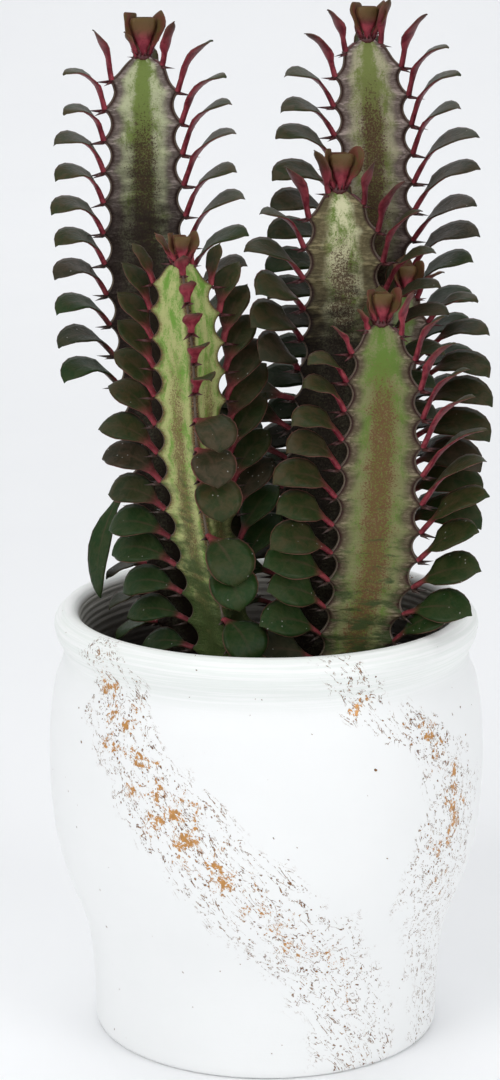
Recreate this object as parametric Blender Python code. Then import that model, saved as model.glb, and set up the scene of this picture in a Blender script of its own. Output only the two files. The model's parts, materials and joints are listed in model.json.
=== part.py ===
"""Potted three-ribbed euphorbia: a turned pot, its soil, six ribbed shoots and the leaves along their ribs.

Origin at the centre of the pot's flat underside, +Z up, front towards -Y, metres.
"""

import math
import random

import bmesh
import bpy
import numpy as np
from mathutils import Matrix, Vector
from mathutils.bvhtree import BVHTree

MM = 0.001
GAP = 0.3
SEED = 7

# Pot, in millimetres: radius and height up the outside, over the lip and down the inside.
SEGMENTS = 44
POT_OUTSIDE = (
    (58.8, 0.0), (60.4, 1.6), (60.7, 16.0), (61.9, 30.0), (64.1, 40.6), (68.6, 52.6),
    (72.0, 63.7), (74.2, 76.0), (75.4, 95.0), (74.8, 111.0), (73.0, 124.0), (69.8, 134.5),
    (72.4, 141.5), (72.7, 146.2), (69.8, 149.6),
)
POT_INSIDE = (
    (66.2, 149.4), (64.3, 146.5), (63.4, 136.0), (66.2, 122.0), (68.2, 100.0),
    (66.4, 72.0), (58.6, 46.0), (54.6, 28.0), (52.0, 9.0),
)
SOIL_LEVEL = 118.0
SOIL_EDGE_DROP = 1.5

# Buried foot of each shoot.
FOOT_RADIUS = 6.5
FOOT_DEPTH = 22.0

# Ribs: the stem's own crest lies under a margin strip that carries the teeth.
NOTCH_DEPTH = 3.0
STRIP_DEPTH = 1.3
STRIP_HALF = 1.0
VALLEY_SHARE = 0.45
DOME_LENGTH = 5.5
DOME_START = 1.5
LEAF_SEAT = 2.2
ROW_START = 121.0
STEM_DOME = (14.0, 10.0, 7.0, 4.8, 3.0, 1.5, 0.0)

# Six shoots: axis points from the soil to the growing point, crest radius up the axis.
SHOOTS = {
    "a": dict(
        axis=(
            (-22, 14.5, 118), (-28, 16, 152.7), (-33.2, 18, 200),
            (-40, 20, 250), (-41.3, 20, 284), (-41.6, 20, 334.6),
        ),
        crest=((118, 13.5), (150, 14.5), (200, 16.0), (275, 16.6), (300, 15.6), (335, 15.4)),
        pitch=10.4,
    ),
    "b": dict(
        axis=(
            (-10, -25, 118), (-15, -26, 151), (-19.8, -27.5, 176.5),
            (-23.8, -29, 208), (-25.4, -30, 246), (-28.3, -30, 272),
        ),
        crest=((118, 12.5), (150, 13.0), (200, 13.8), (250, 13.6), (272, 13.4)),
        pitch=9.7,
    ),
    "c": dict(
        axis=((30, 30, 118), (34, 34, 180), (36.6, 37, 250), (36.8, 37, 300), (34.4, 37, 339.2)),
        crest=((118, 13.5), (180, 15.0), (280, 16.0), (305, 15.6), (340, 15.2)),
        pitch=9.9,
    ),
    "d": dict(
        axis=((9, 0, 118), (14, 0, 150), (20, 0, 204), (25.6, 0, 259), (25.1, 0, 274), (24, 0, 292)),
        crest=((118, 13.5), (200, 15.5), (265, 15.8), (292, 14.8)),
        pitch=10.2,
    ),
    "e": dict(
        axis=(
            (26.5, -27, 118), (29.3, -28, 144.7), (34.6, -30, 169),
            (36.2, -31, 193), (37.7, -31, 220), (37, -31, 252.4),
        ),
        crest=((118, 13.6), (145, 14.8), (170, 17.0), (188, 17.2), (215, 15.6), (235, 14.4), (252, 13.2)),
        pitch=9.5,
    ),
    "f": dict(
        axis=((33, 7, 118), (34.5, 8, 150), (37.2, 9, 190), (41, 10, 220), (45, 11, 243), (47, 11, 256)),
        crest=((118, 10.5), (200, 11.0), (256, 12.0)),
        pitch=10.2,
    ),
}

# Rows of leaves: shoot, side, heading of the rib from -Y towards +X in degrees, depth of the first
# tooth under the growing point, lowest leaf height, leaf habit, and the teeth that have shed theirs.
ROWS = (
    ("b", "front", 6, 3.8, 126, "facing", (8, 11)),
    ("b", "left", -114, 0.8, 128, "spread", ()),
    ("e", "left", -60, 2.4, 124, "broad", ()),
    ("e", "right", 60, 4.2, 124, "rising", ()),
    ("a", "left", -60, 0.6, 138, "arched", (12, 13, 15, 16)),
    ("a", "right", 60, 3.5, 150, "long", ()),
    ("f", "right", 68, 2.4, 165, "wide", ()),
    ("b", "right", 126, 1.8, 165, "upright", ()),
    ("d", "left", -60, 1.6, 150, "full", ()),
    ("d", "right", 60, 5.0, 205, "long", ()),
    ("c", "left", -60, 4.7, 150, "swept", ()),
    ("c", "right", 60, 2.0, 170, "long", ()),
    ("f", "rear", 188, 4.5, 165, "long", ()),
    ("a", "rear", 180, 6.0, 190, "long", ()),
    ("c", "rear", 180, 6.5, 180, "long", ()),
    ("d", "rear", 180, 6.0, 170, "full", ()),
    ("e", "rear", 180, 6.0, 150, "full", ()),
    ("f", "left", -52, 6.0, 200, "arched", ()),
)

# Leaf habits by place below the crown (first number of each set): length, width, start and end
# angle above the rib's outward direction, roll of the upper face towards the front.
HABITS = {
    "arched": (
        (0, 9, 4.5, 82, 66, 0), (1, 18, 8.0, 80, 46, 6), (2, 21, 10, 78, -20, 12),
        (5, 24, 11, 74, -45, 22), (11, 24, 12, 55, -50, 28), (14, 44, 10.5, -50, -100, 20),
        (17, 16, 6.5, 8, -40, 10), (18, 17, 8.0, 14, -35, 10),
    ),
    "long": (
        (0, 15, 7.5, 80, 60, 0), (1, 21, 9.0, 76, 26, 6), (2, 25, 10.5, 72, 4, 14),
        (5, 30, 12, 66, -8, 24), (8, 30, 12.5, 58, -16, 28), (15, 27, 13, 45, -30, 32),
    ),
    "swept": (
        (0, 15, 7.0, 82, 50, 0), (1, 20, 8.0, 78, 20, 0), (2, 25, 10, 68, -20, 20),
        (5, 29, 12, 48, -30, 32), (12, 29, 12.5, 35, -40, 35),
    ),
    "broad": (
        (0, 8, 4.5, 78, 50, 0), (1, 12, 6.0, 72, 30, 5), (2, 19, 9.0, 66, -25, 25),
        (5, 24, 12, 52, -35, 38), (9, 26, 14, 36, -30, 48), (15, 24, 13, 18, -30, 42),
    ),
    "full": (
        (0, 15, 8.5, 82, 66, 0), (1, 20, 9.0, 78, 40, 5), (2, 21, 10, 70, 0, 15),
        (4, 30, 14.5, 42, -26, 38), (9, 32, 15, 28, -28, 44), (15, 27, 13.5, 18, -34, 40),
    ),
    "rising": (
        (0, 15, 7.5, 80, 50, 0), (2, 22, 9.0, 72, 16, 4), (5, 29, 10, 64, 8, 10),
        (7, 28, 12, 52, 12, 35), (9, 26, 13.5, 46, 4, 50), (14, 24, 12, 34, -10, 48),
    ),
    "wide": (
        (0, 14, 7.0, 78, 20, 0), (1, 21, 9.5, 66, -20, 20), (3, 28, 12.5, 56, -38, 36),
        (5, 33, 14, 48, -40, 42), (12, 28, 14, 38, -50, 42),
    ),
    "upright": (
        (0, 9, 5.5, 80, 66, 0), (2, 18, 10, 70, 42, 15), (5, 25, 12.5, 64, 30, 30),
        (12, 24, 12, 48, 0, 30),
    ),
    "spread": (
        (0, 11, 5.0, 80, 60, 0), (2, 17, 9.0, 74, 44, 14), (4, 21, 10.5, 66, 26, 24),
        (7, 23, 12, 54, -22, 34), (11, 26, 13.5, 38, -38, 40), (15, 20, 10.0, 22, -44, 34),
    ),
    "facing": (
        (0, 7, 5.5, 80, 60, 0), (2, 9, 7.5, 70, 30, 0), (4, 12, 8.5, 60, -20, 10),
        (5, 20, 14.5, 12, -98, 12), (9, 23, 17, -8, -104, 8), (14, 21, 15, -8, -100, 6),
    ),
}
# Leaves of this habit hang to one side of their rib, by this many degrees.
SWAY = {"facing": 24}
LEAF_THICK = 0.9
CURL = 1.5
PETIOLE = (0.24, 1.05, 0.75)
BLADE = ((0.64, 1.0), (0.96, 0.58))
LEAF_CLEAR = 0.35

CROWN_TURN = {"a": 6, "b": -54, "c": -6, "d": -5, "e": 4, "f": 8}
CROWN_SIZE = {"a": 1.0, "b": 0.7, "c": 0.85, "d": 1.35, "e": 1.0, "f": 0.8}

# Attitudes a leaf may take when its place is crowded: swing, lift, size.
SWINGS = (0, 14, -14, 28, -28)
LIFTS = (0, 14, -14, 26, -26)
SIZES = (1.0, 0.85, 0.7)
TRIES = [(swing, lift, size) for size in SIZES for lift in LIFTS for swing in SWINGS]

COLOURS = {
    "pot": ((0.86, 0.87, 0.85), 0.55),
    "soil": ((0.045, 0.026, 0.018), 0.95),
    "green": ((0.16, 0.22, 0.09), 0.5),
    "dark": ((0.045, 0.035, 0.028), 0.5),
    "leaf": ((0.045, 0.06, 0.03), 0.35),
    "young": ((0.16, 0.05, 0.03), 0.4),
}


def clear_scene():
    for obj in list(bpy.data.objects):
        bpy.data.objects.remove(obj)


def material(name):
    colour, roughness = COLOURS[name]
    made = bpy.data.materials.new(name)
    made.use_nodes = True
    shader = made.node_tree.nodes["Principled BSDF"]
    shader.inputs["Base Color"].default_value = (*colour, 1.0)
    shader.inputs["Roughness"].default_value = roughness
    shader.inputs["Metallic"].default_value = 0.0
    made.diffuse_color = (*colour, 1.0)
    return made


def add_object(name, bm, colour):
    """Make the object of one sub-part from its bmesh, which is in millimetres."""
    bmesh.ops.scale(bm, vec=(MM, MM, MM), verts=bm.verts)
    mesh = bpy.data.meshes.new(name)
    bm.to_mesh(mesh)
    bm.free()
    obj = bpy.data.objects.new(name, mesh)
    bpy.context.scene.collection.objects.link(obj)
    mesh.materials.append(material(colour))
    return obj


def turned(profile):
    """Solid of revolution about Z of a profile whose ends lie on the axis."""
    bm = bmesh.new()
    points = [bm.verts.new((radius, 0.0, height)) for radius, height in profile]
    edges = [bm.edges.new(pair) for pair in zip(points, points[1:])]
    bmesh.ops.spin(
        bm, geom=points + edges, cent=(0, 0, 0), axis=(0, 0, 1), angle=2 * math.pi,
        steps=SEGMENTS, use_merge=True, use_normal_flip=False,
    )
    bmesh.ops.remove_doubles(bm, verts=bm.verts, dist=0.001)
    bmesh.ops.recalc_face_normals(bm, faces=bm.faces)
    return bm


def inside_radius(height):
    heights = [z for _, z in reversed(POT_INSIDE)]
    radii = [r for r, _ in reversed(POT_INSIDE)]
    return float(np.interp(height, heights, radii))


def make_pot():
    profile = ((0.0, 0.0),) + POT_OUTSIDE + POT_INSIDE + ((0.0, POT_INSIDE[-1][1]),)
    return add_object("pot", turned(profile), "pot")


def soil_profile():
    """Follow the pot's inside with a gap, so that the two never touch."""
    floor = POT_INSIDE[-1][1] + GAP
    profile = [(0.0, floor), (POT_INSIDE[-1][0] - 2 * GAP, floor)]
    for radius, height in reversed(POT_INSIDE[:-1]):
        if height < SOIL_LEVEL - 4:
            profile.append((radius - 1.2 * GAP, height))
    edge = SOIL_LEVEL - SOIL_EDGE_DROP
    profile.append((inside_radius(edge) - 1.2 * GAP, edge))
    profile.append((inside_radius(edge) - 3.0, SOIL_LEVEL))
    profile.append((0.0, SOIL_LEVEL))
    return profile


def make_soil():
    """Cut a socket in the soil for the buried foot of each shoot."""
    soil = add_object("soil", turned(soil_profile()), "soil")
    for name, shoot in SHOOTS.items():
        x, y, _ = shoot["axis"][0]
        bm = bmesh.new()
        depth = FOOT_DEPTH + GAP
        place = Matrix.Translation((x, y, SOIL_LEVEL - depth / 2 + 5))
        bmesh.ops.create_cone(
            bm, cap_ends=True, segments=24, radius1=FOOT_RADIUS + 0.45, radius2=FOOT_RADIUS + 0.45,
            depth=depth + 10, matrix=place,
        )
        cutter = add_object("socket_cutter_" + name, bm, "soil")
        cutter.hide_render = True
        cutter.display_type = "WIRE"
        cut = soil.modifiers.new("socket_" + name, "BOOLEAN")
        cut.operation = "DIFFERENCE"
        cut.solver = "EXACT"
        cut.object = cutter
    return soil


def axis_at(shoot, height):
    """Point of the shoot's axis at a height, on a smooth curve through its axis points."""
    points = np.array(shoot["axis"], float)
    z = points[:, 2]
    slopes = np.gradient(points, z, axis=0)
    i = int(np.clip(np.searchsorted(z, height) - 1, 0, len(z) - 2))
    span = z[i + 1] - z[i]
    t = (height - z[i]) / span
    first = (1 + 2 * t) * (1 - t) ** 2 * points[i] + t * (1 - t) ** 2 * span * slopes[i]
    second = t * t * (3 - 2 * t) * points[i + 1] + t * t * (t - 1) * span * slopes[i + 1]
    return Vector(first + second)


def up_at(shoot, height):
    top = shoot["axis"][-1][2]
    low = min(height, top - 2)
    return (axis_at(shoot, low + 1) - axis_at(shoot, low - 1)).normalized()


def crest_radius(shoot, height):
    """Radius to the teeth of the ribs, closing in a dome at the growing point."""
    heights, radii = zip(*shoot["crest"])
    below = shoot["axis"][-1][2] - height
    return float(np.interp(height, heights, radii)) * (1 - math.exp(-(below + DOME_START) / DOME_LENGTH))


def outward(heading, up):
    """Direction of a rib square to the axis."""
    angle = math.radians(heading)
    flat = Vector((math.sin(angle), -math.cos(angle), 0))
    return (flat - flat.dot(up) * up).normalized()


def shoot_headings(name):
    return [row[2] for row in ROWS if row[0] == name]


def section(shoot, headings, height):
    """Nine points of the stem's section: two at each crest and one in each valley."""
    centre = axis_at(shoot, height)
    crest = max(crest_radius(shoot, height) - NOTCH_DEPTH - STRIP_DEPTH - GAP, 1.6)
    points = []
    for heading in headings:
        angle = math.radians(heading)
        out = Vector((math.sin(angle), -math.cos(angle), 0))
        side = Vector((math.cos(angle), math.sin(angle), 0))
        half = min(STRIP_HALF, crest * 0.4)
        points.append(centre + out * crest - side * half)
        points.append(centre + out * crest + side * half)
        valley = math.radians(heading + 60)
        deep = max(crest_radius(shoot, height) * VALLEY_SHARE, 1.3)
        points.append(centre + Vector((math.sin(valley), -math.cos(valley), 0)) * deep)
    return points


def stem_heights(shoot):
    """Heights of the stem's sections, closer together in the dome of the growing point."""
    top = shoot["axis"][-1][2]
    regular = list(np.arange(132.0, top - 20, 12.0))
    return [SOIL_LEVEL + 1.2 * GAP] + regular + [top - depth for depth in STEM_DOME]


def bare_crest(shoot, height):
    """Radius of the stem's own crest, straight from one of its sections to the next."""
    heights = stem_heights(shoot)
    radii = [max(crest_radius(shoot, z) - NOTCH_DEPTH - STRIP_DEPTH - GAP, 1.6) for z in heights]
    return float(np.interp(height, heights, radii))


def bare_axis(shoot, height):
    heights = stem_heights(shoot)
    points = np.array([axis_at(shoot, z) for z in heights])
    return Vector([float(np.interp(height, heights, points[:, i])) for i in range(3)])


def make_stem(name):
    shoot = SHOOTS[name]
    headings = sorted(shoot_headings(name))
    rings = [section(shoot, headings, height) for height in stem_heights(shoot)]
    base = axis_at(shoot, SOIL_LEVEL)
    foot = []
    for low in (SOIL_LEVEL - FOOT_DEPTH, SOIL_LEVEL + GAP):
        foot.append([])
        for point in rings[0]:
            away = Vector((point.x - base.x, point.y - base.y, 0)).normalized()
            foot[-1].append(Vector((base.x, base.y, low)) + away * FOOT_RADIUS)
    bm = bmesh.new()
    layers = [[bm.verts.new(point) for point in ring] for ring in foot + rings]
    for lower, upper in zip(layers, layers[1:]):
        for i in range(len(lower)):
            j = (i + 1) % len(lower)
            bm.faces.new((lower[i], lower[j], upper[j], upper[i]))
    bm.faces.new(layers[0][::-1])
    bm.faces.new(layers[-1])
    bmesh.ops.recalc_face_normals(bm, faces=bm.faces)
    return bm


def teeth_of(row):
    """Heights of the teeth of one row, from the crown down to the soil."""
    shoot = SHOOTS[row[0]]
    height = shoot["axis"][-1][2] - row[3]
    heights = []
    while height > ROW_START + 2:
        heights.append(height)
        height -= shoot["pitch"] * min(1.0, 0.72 + 0.025 * (shoot["axis"][-1][2] - height))
    return heights


def habit_at(row, place):
    table = np.array(HABITS[row[5]], float)
    values = [float(np.interp(place, table[:, 0], table[:, i])) for i in range(1, 6)]
    values[4] *= 1 if math.sin(math.radians(row[2])) >= 0 else -1
    return values


def leaf_path(seat, up, out, length, start, end, roll, share):
    """Point and axes (along, across, upper face) of a leaf's midrib at a share of its length."""
    steps = 12
    point = seat.copy()
    for i in range(steps):
        at = share * (i + 0.5) / steps
        angle = math.radians(start + (end - start) * at ** CURL)
        point = point + (out * math.cos(angle) + up * math.sin(angle)) * (length * share / steps)
    angle = math.radians(start + (end - start) * share ** CURL)
    along = out * math.cos(angle) + up * math.sin(angle)
    face = up * math.cos(angle) - out * math.sin(angle)
    turn = Matrix.Rotation(math.radians(roll) * min(1.0, share / 0.4), 3, along)
    return point, along, turn @ up.cross(out), turn @ face


def ring(point, across, face, half_width, half_thick):
    side = across * half_width
    rise = face * half_thick
    return [point - side - rise, point + side - rise, point + side + rise, point - side + rise]


def leaf_rings(leaf, grow=0.0):
    """Sections of a leaf from the end of its petiole to its blunt tip."""
    seat, up, out, length, width, start, end, roll = leaf
    rings = []
    stations = [(PETIOLE[0], PETIOLE[1], PETIOLE[2])]
    stations += [(share, width * part / 2, LEAF_THICK / 2) for share, part in BLADE]
    for share, half_width, half_thick in stations:
        point, along, across, face = leaf_path(seat, up, out, length, start, end, roll, share)
        rings.append(ring(point + along * grow, across, face, half_width + grow, half_thick + grow))
    return rings


def strip_rings(row):
    """Sections of a rib's margin from the soil to the crown, and where its leaves sit."""
    shoot = SHOOTS[row[0]]
    teeth = sorted(teeth_of(row))
    levels = [(ROW_START, NOTCH_DEPTH * 0.7, None)]
    for i, height in enumerate(teeth):
        place = len(teeth) - 1 - i
        levels.append((height, 0.0, None))
        if height >= row[4] and place not in row[6]:
            levels.append((height + LEAF_SEAT, 0.5, place))
        if i + 1 < len(teeth):
            levels.append(((height + LEAF_SEAT + teeth[i + 1]) / 2, NOTCH_DEPTH, None))
    rings = []
    for height, notch, place in levels:
        axis = bare_axis(shoot, height)
        angle = math.radians(row[2])
        out = Vector((math.sin(angle), -math.cos(angle), 0))
        side = Vector((math.cos(angle), math.sin(angle), 0))
        tooth = crest_radius(shoot, height)
        inner = bare_crest(shoot, height) + 1.3 * GAP
        outer = max(tooth - notch, inner + 0.9)
        half = min(STRIP_HALF, inner * 0.4)
        points = [axis + out * inner - side * half, axis + out * inner + side * half]
        points += [axis + out * outer + side * half, axis + out * outer - side * half]
        rings.append((points, place, height))
    return rings


def strip_mesh(row, rings, seats):
    """Margin strip with a leaf drawn out from each seat of the row."""
    bm = bmesh.new()
    layers = [[bm.verts.new(point) for point in points] for points, _, _ in rings]
    seat_faces = {}
    for lower, upper, (_, place, _) in zip(layers, layers[1:], rings[1:]):
        bm.faces.new((lower[1], lower[0], upper[0], upper[1]))
        bm.faces.new((lower[2], lower[1], upper[1], upper[2]))
        face = bm.faces.new((lower[3], lower[2], upper[2], upper[3]))
        bm.faces.new((lower[0], lower[3], upper[3], upper[0]))
        if place is not None:
            seat_faces[place] = face
    bm.faces.new(layers[0])
    bm.faces.new(layers[-1][::-1])
    for place, leaf in seats.items():
        face = seat_faces[place]
        for points in leaf_rings(leaf):
            face = bmesh.ops.extrude_discrete_faces(bm, faces=[face])["faces"][0]
            for vert, point in zip(face.verts, points):
                vert.co = point
    return bm


def tree_of(bm):
    return BVHTree.FromBMesh(bm)


def leaf_tree(leaf):
    """Slightly swollen hull of a leaf, for testing that it clears its neighbours."""
    seat, up, out = leaf[0], leaf[1], leaf[2]
    start = math.radians(leaf[5])
    along = out * math.cos(start) + up * math.sin(start)
    face = up * math.cos(start) - out * math.sin(start)
    first = ring(seat + along * 1.2, up.cross(out), face, 1.0, 0.8)
    rings = [first] + leaf_rings(leaf, LEAF_CLEAR)
    points = [point for points in rings for point in points]
    faces = [(0, 3, 2, 1)]
    for i in range(len(rings) - 1):
        for j in range(4):
            k = (j + 1) % 4
            faces.append((4 * i + j, 4 * i + k, 4 * i + 4 + k, 4 * i + 4 + j))
    last = 4 * (len(rings) - 1)
    faces.append((last, last + 1, last + 2, last + 3))
    low = [min(point[i] for point in points) for i in range(3)]
    high = [max(point[i] for point in points) for i in range(3)]
    return BVHTree.FromPolygons(points, faces), low, high


def apart(low, high, other_low, other_high):
    return any(high[i] < other_low[i] or other_high[i] < low[i] for i in range(3))


def box_of(bm):
    low = [min(vert.co[i] for vert in bm.verts) for i in range(3)]
    high = [max(vert.co[i] for vert in bm.verts) for i in range(3)]
    return low, high


def place_leaves(row, obstacles, leaves_so_far, draw):
    """Seat the row's leaves one by one, each in the first attitude that clears everything near it."""
    shoot = SHOOTS[row[0]]
    own = row_name(row)
    seats = {}
    for place, height in enumerate(teeth_of(row)):
        jitter = [draw.uniform(-1, 1) for _ in range(4)]
        if height < row[4] or place in row[6]:
            continue
        length, width, start, end, roll = habit_at(row, place)
        up = up_at(shoot, height)
        tooth = crest_radius(shoot, height + LEAF_SEAT / 2)
        angle = math.radians(row[2])
        flat = Vector((math.sin(angle), -math.cos(angle), 0))
        seat = axis_at(shoot, height + LEAF_SEAT / 2) + flat * (tooth - 0.2)
        heading = row[2] + SWAY.get(row[5], 0)
        for swing, lift, size in TRIES:
            out = outward(heading + swing + 5 * jitter[0], up)
            leaf = (
                seat, up, out, length * size * (1 + 0.06 * jitter[1]), width * size,
                min(start + lift + 4 * jitter[2], 84), end + lift + 7 * jitter[3], roll,
            )
            tree, low, high = leaf_tree(leaf)
            others = [item for item in obstacles if item[0] != own] + leaves_so_far
            near = [item for item in others if not apart(low, high, item[2], item[3])]
            if not any(tree.overlap(item[1]) for item in near):
                seats[place] = leaf
                leaves_so_far.append((own, tree, low, high))
                break
    return seats


def row_name(row):
    return "leaves_" + row[0] + "_" + row[1]


# Young leaves of a crown: heading, length, width, start and end angle.
CROWN_LEAVES = ((0, 12.0, 8.5, 80, 96), (120, 11.0, 7.5, 80, 90), (-120, 12.0, 8.5, 78, 100))


def make_crown(name, obstacles, leaves_so_far):
    """Cushion of the growing point with its young upright leaves."""
    shoot = SHOOTS[name]
    top = shoot["axis"][-1]
    bm = bmesh.new()
    centre = Vector(top) + Vector((0, 0, GAP))
    layers = []
    for height in (0.0, 1.8):
        layers.append([])
        for i in range(6):
            angle = math.radians(60 * i - 30 + CROWN_TURN[name])
            offset = Vector((math.sin(angle), -math.cos(angle), 0)) * 1.7
            layers[-1].append(bm.verts.new(centre + offset + Vector((0, 0, height))))
    lower, upper = layers
    sides = []
    for i in range(6):
        j = (i + 1) % 6
        sides.append(bm.faces.new((lower[i], lower[j], upper[j], upper[i])))
    bm.faces.new(lower[::-1])
    bm.faces.new(upper)
    up = Vector((0, 0, 1))
    for heading, length, width, start, end in CROWN_LEAVES:
        face = sides[(heading % 360) // 60]
        for size in (1.0, 0.8, 0.6, 0.45):
            out = outward(heading + CROWN_TURN[name], up)
            seat = face.calc_center_median()
            scale = size * CROWN_SIZE[name]
            leaf = (seat, up, out, length * scale, width * scale, start, end, 0)
            tree, low, high = leaf_tree(leaf)
            near = [item for item in obstacles + leaves_so_far if not apart(low, high, item[2], item[3])]
            if any(tree.overlap(item[1]) for item in near):
                continue
            leaves_so_far.append(("crown_" + name, tree, low, high))
            for points in leaf_rings(leaf):
                face = bmesh.ops.extrude_discrete_faces(bm, faces=[face])["faces"][0]
                for vert, point in zip(face.verts, points):
                    vert.co = point
            break
    return bm


def main():
    clear_scene()
    make_pot()
    make_soil()
    draw = random.Random(SEED)
    obstacles = []
    for part in ("pot", "soil"):
        bm = bmesh.new()
        bm.from_mesh(bpy.data.objects[part].data)
        bmesh.ops.scale(bm, vec=(1 / MM, 1 / MM, 1 / MM), verts=bm.verts)
        obstacles.append((part, tree_of(bm), *box_of(bm)))
        bm.free()
    for name in SHOOTS:
        bm = make_stem(name)
        obstacles.append(("stem_" + name, tree_of(bm), *box_of(bm)))
        add_object("stem_" + name, bm, "green" if name in "be" else "dark")
    strips = {}
    for row in ROWS:
        strips[row] = strip_rings(row)
        bm = strip_mesh(row, strips[row], {})
        obstacles.append((row_name(row), tree_of(bm), *box_of(bm)))
        bm.free()
    leaves = []
    crowns = {name: make_crown(name, obstacles, leaves) for name in SHOOTS}
    total = 0
    for row in ROWS:
        seats = place_leaves(row, obstacles, leaves, draw)
        total += len(seats)
        print(row_name(row), len(seats), "leaves")
        add_object(row_name(row), strip_mesh(row, strips[row], seats), "leaf")
    for name, bm in crowns.items():
        add_object("crown_" + name, bm, "young")
    print(total, "leaves")


main()
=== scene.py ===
# %% [markdown]
# # A potted three-ribbed euphorbia
#
# The plant is a succulent with six upright shoots. Each shoot has three ribs, each rib has a row
# of teeth, and each tooth carries two spines and one leaf. It grows in a white turned pot with
# flecks of gold leaf. This file builds the fine surface of every part around a coarser model that
# already says where each part stands and how large it is. Lengths in the tables below are in
# millimetres, because that is how one would measure the plant, and the meshes are in metres.

import json
import math
import random

import bmesh
import bpy
import numpy as np
from mathutils import Matrix, Vector
from mathutils.kdtree import KDTree

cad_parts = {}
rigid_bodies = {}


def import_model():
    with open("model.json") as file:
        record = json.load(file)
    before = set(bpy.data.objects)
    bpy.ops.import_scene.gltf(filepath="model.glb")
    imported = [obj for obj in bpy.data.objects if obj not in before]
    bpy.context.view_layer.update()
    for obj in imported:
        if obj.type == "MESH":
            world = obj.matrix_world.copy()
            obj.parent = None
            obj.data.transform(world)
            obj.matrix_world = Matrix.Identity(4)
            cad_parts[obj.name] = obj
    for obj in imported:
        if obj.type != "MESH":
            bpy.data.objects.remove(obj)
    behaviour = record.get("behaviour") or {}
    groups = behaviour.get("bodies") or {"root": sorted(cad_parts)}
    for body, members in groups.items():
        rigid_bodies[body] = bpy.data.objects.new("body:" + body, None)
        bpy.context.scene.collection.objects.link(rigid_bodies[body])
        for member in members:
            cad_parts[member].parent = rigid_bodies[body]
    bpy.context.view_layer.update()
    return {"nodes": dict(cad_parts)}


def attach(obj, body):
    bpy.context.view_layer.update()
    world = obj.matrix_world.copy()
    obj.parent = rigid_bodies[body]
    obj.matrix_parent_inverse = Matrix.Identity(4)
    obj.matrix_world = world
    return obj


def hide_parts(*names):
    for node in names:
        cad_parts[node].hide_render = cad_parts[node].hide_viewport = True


for thing in list(bpy.data.objects):
    bpy.data.objects.remove(thing)
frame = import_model()
MM = 0.001

# %% [markdown]
# ## Small tools
#
# A node tree, for a shape or for a finish, is a chain of nodes whose sockets are either linked to
# another socket or hold a value. One helper that adds a node and fills its sockets from a
# dictionary keeps every tree below short enough to read in order, like a recipe. A second one sets
# up a Geometry Nodes tree with named inputs, and a third grows a plain mesh from a guide with it.

# %% Helpers for node trees


def add(tree, kind, sockets=None, **settings):
    """Add a node, set its own settings, then link or fill its sockets by name or number."""
    made = tree.nodes.new(kind)
    for name, value in settings.items():
        setattr(made, name, value)
    for name, value in (sockets or {}).items():
        if isinstance(value, bpy.types.NodeSocket):
            tree.links.new(value, made.inputs[name])
        else:
            made.inputs[name].default_value = value
    return made


def maths(tree, operation, first, second=0.0, third=0.0):
    return add(tree, "ShaderNodeMath", {0: first, 1: second, 2: third}, operation=operation).outputs[0]


def times(tree, first, second):
    return maths(tree, "MULTIPLY", first, second)


def plus(tree, first, second):
    return maths(tree, "ADD", first, second)


def minus(tree, first, second):
    return maths(tree, "SUBTRACT", first, second)


def scaled(tree, value, factor, start):
    """Value times a factor, plus a start."""
    return maths(tree, "MULTIPLY_ADD", value, factor, start)


def vector_maths(tree, operation, first, second=(0, 0, 0)):
    made = add(tree, "ShaderNodeVectorMath", {0: first, 1: second}, operation=operation)
    return made.outputs[0]


def stretched(tree, vector, amount):
    """Vector times a number."""
    made = add(tree, "ShaderNodeVectorMath", {0: vector, "Scale": amount}, operation="SCALE")
    return made.outputs[0]


def graded(tree, value, low, high, out_low=0.0, out_high=1.0, smooth=True):
    """Turn a value's range into another range, with soft ends."""
    made = add(
        tree, "ShaderNodeMapRange",
        {"Value": value, "From Min": low, "From Max": high, "To Min": out_low, "To Max": out_high},
        interpolation_type="SMOOTHSTEP" if smooth else "LINEAR",
    )
    return made.outputs["Result"]


def curved(tree, value, points):
    """Read a value off a smooth curve through points between 0 and 1."""
    made = add(tree, "ShaderNodeFloatCurve", {"Value": value})
    line = made.mapping.curves[0].points
    for i, (x, y) in enumerate(points):
        point = line[i] if i < 2 else line.new(x, y)
        point.location = (x, y)
    made.mapping.update()
    return made.outputs[0]


# %% Helpers for Geometry Nodes


def shape_tree(name, sizes):
    """Empty Geometry Nodes tree with a geometry input, named sizes and a material input."""
    tree = bpy.data.node_groups.new(name, "GeometryNodeTree")
    tree.interface.new_socket("Geometry", in_out="INPUT", socket_type="NodeSocketGeometry")
    for label, value in sizes.items():
        socket = tree.interface.new_socket(label, in_out="INPUT", socket_type="NodeSocketFloat")
        socket.default_value = value
    tree.interface.new_socket("Material", in_out="INPUT", socket_type="NodeSocketMaterial")
    tree.interface.new_socket("Geometry", in_out="OUTPUT", socket_type="NodeSocketGeometry")
    return tree, tree.nodes.new("NodeGroupInput").outputs


def finish_tree(tree, geometry, material):
    """End a tree with real geometry in one material."""
    real = add(tree, "GeometryNodeRealizeInstances", {"Geometry": geometry})
    dressed = add(tree, "GeometryNodeSetMaterial", {"Geometry": real.outputs[0], "Material": material})
    smooth = add(tree, "GeometryNodeSetShadeSmooth", {"Geometry": dressed.outputs[0]})
    add(tree, "NodeGroupOutput", {0: smooth.outputs[0]})


def named(tree, name, kind="FLOAT"):
    """Value that the guide carries under a name."""
    made = add(tree, "GeometryNodeInputNamedAttribute", {"Name": name}, data_type=kind)
    return made.outputs["Attribute"]


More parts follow.
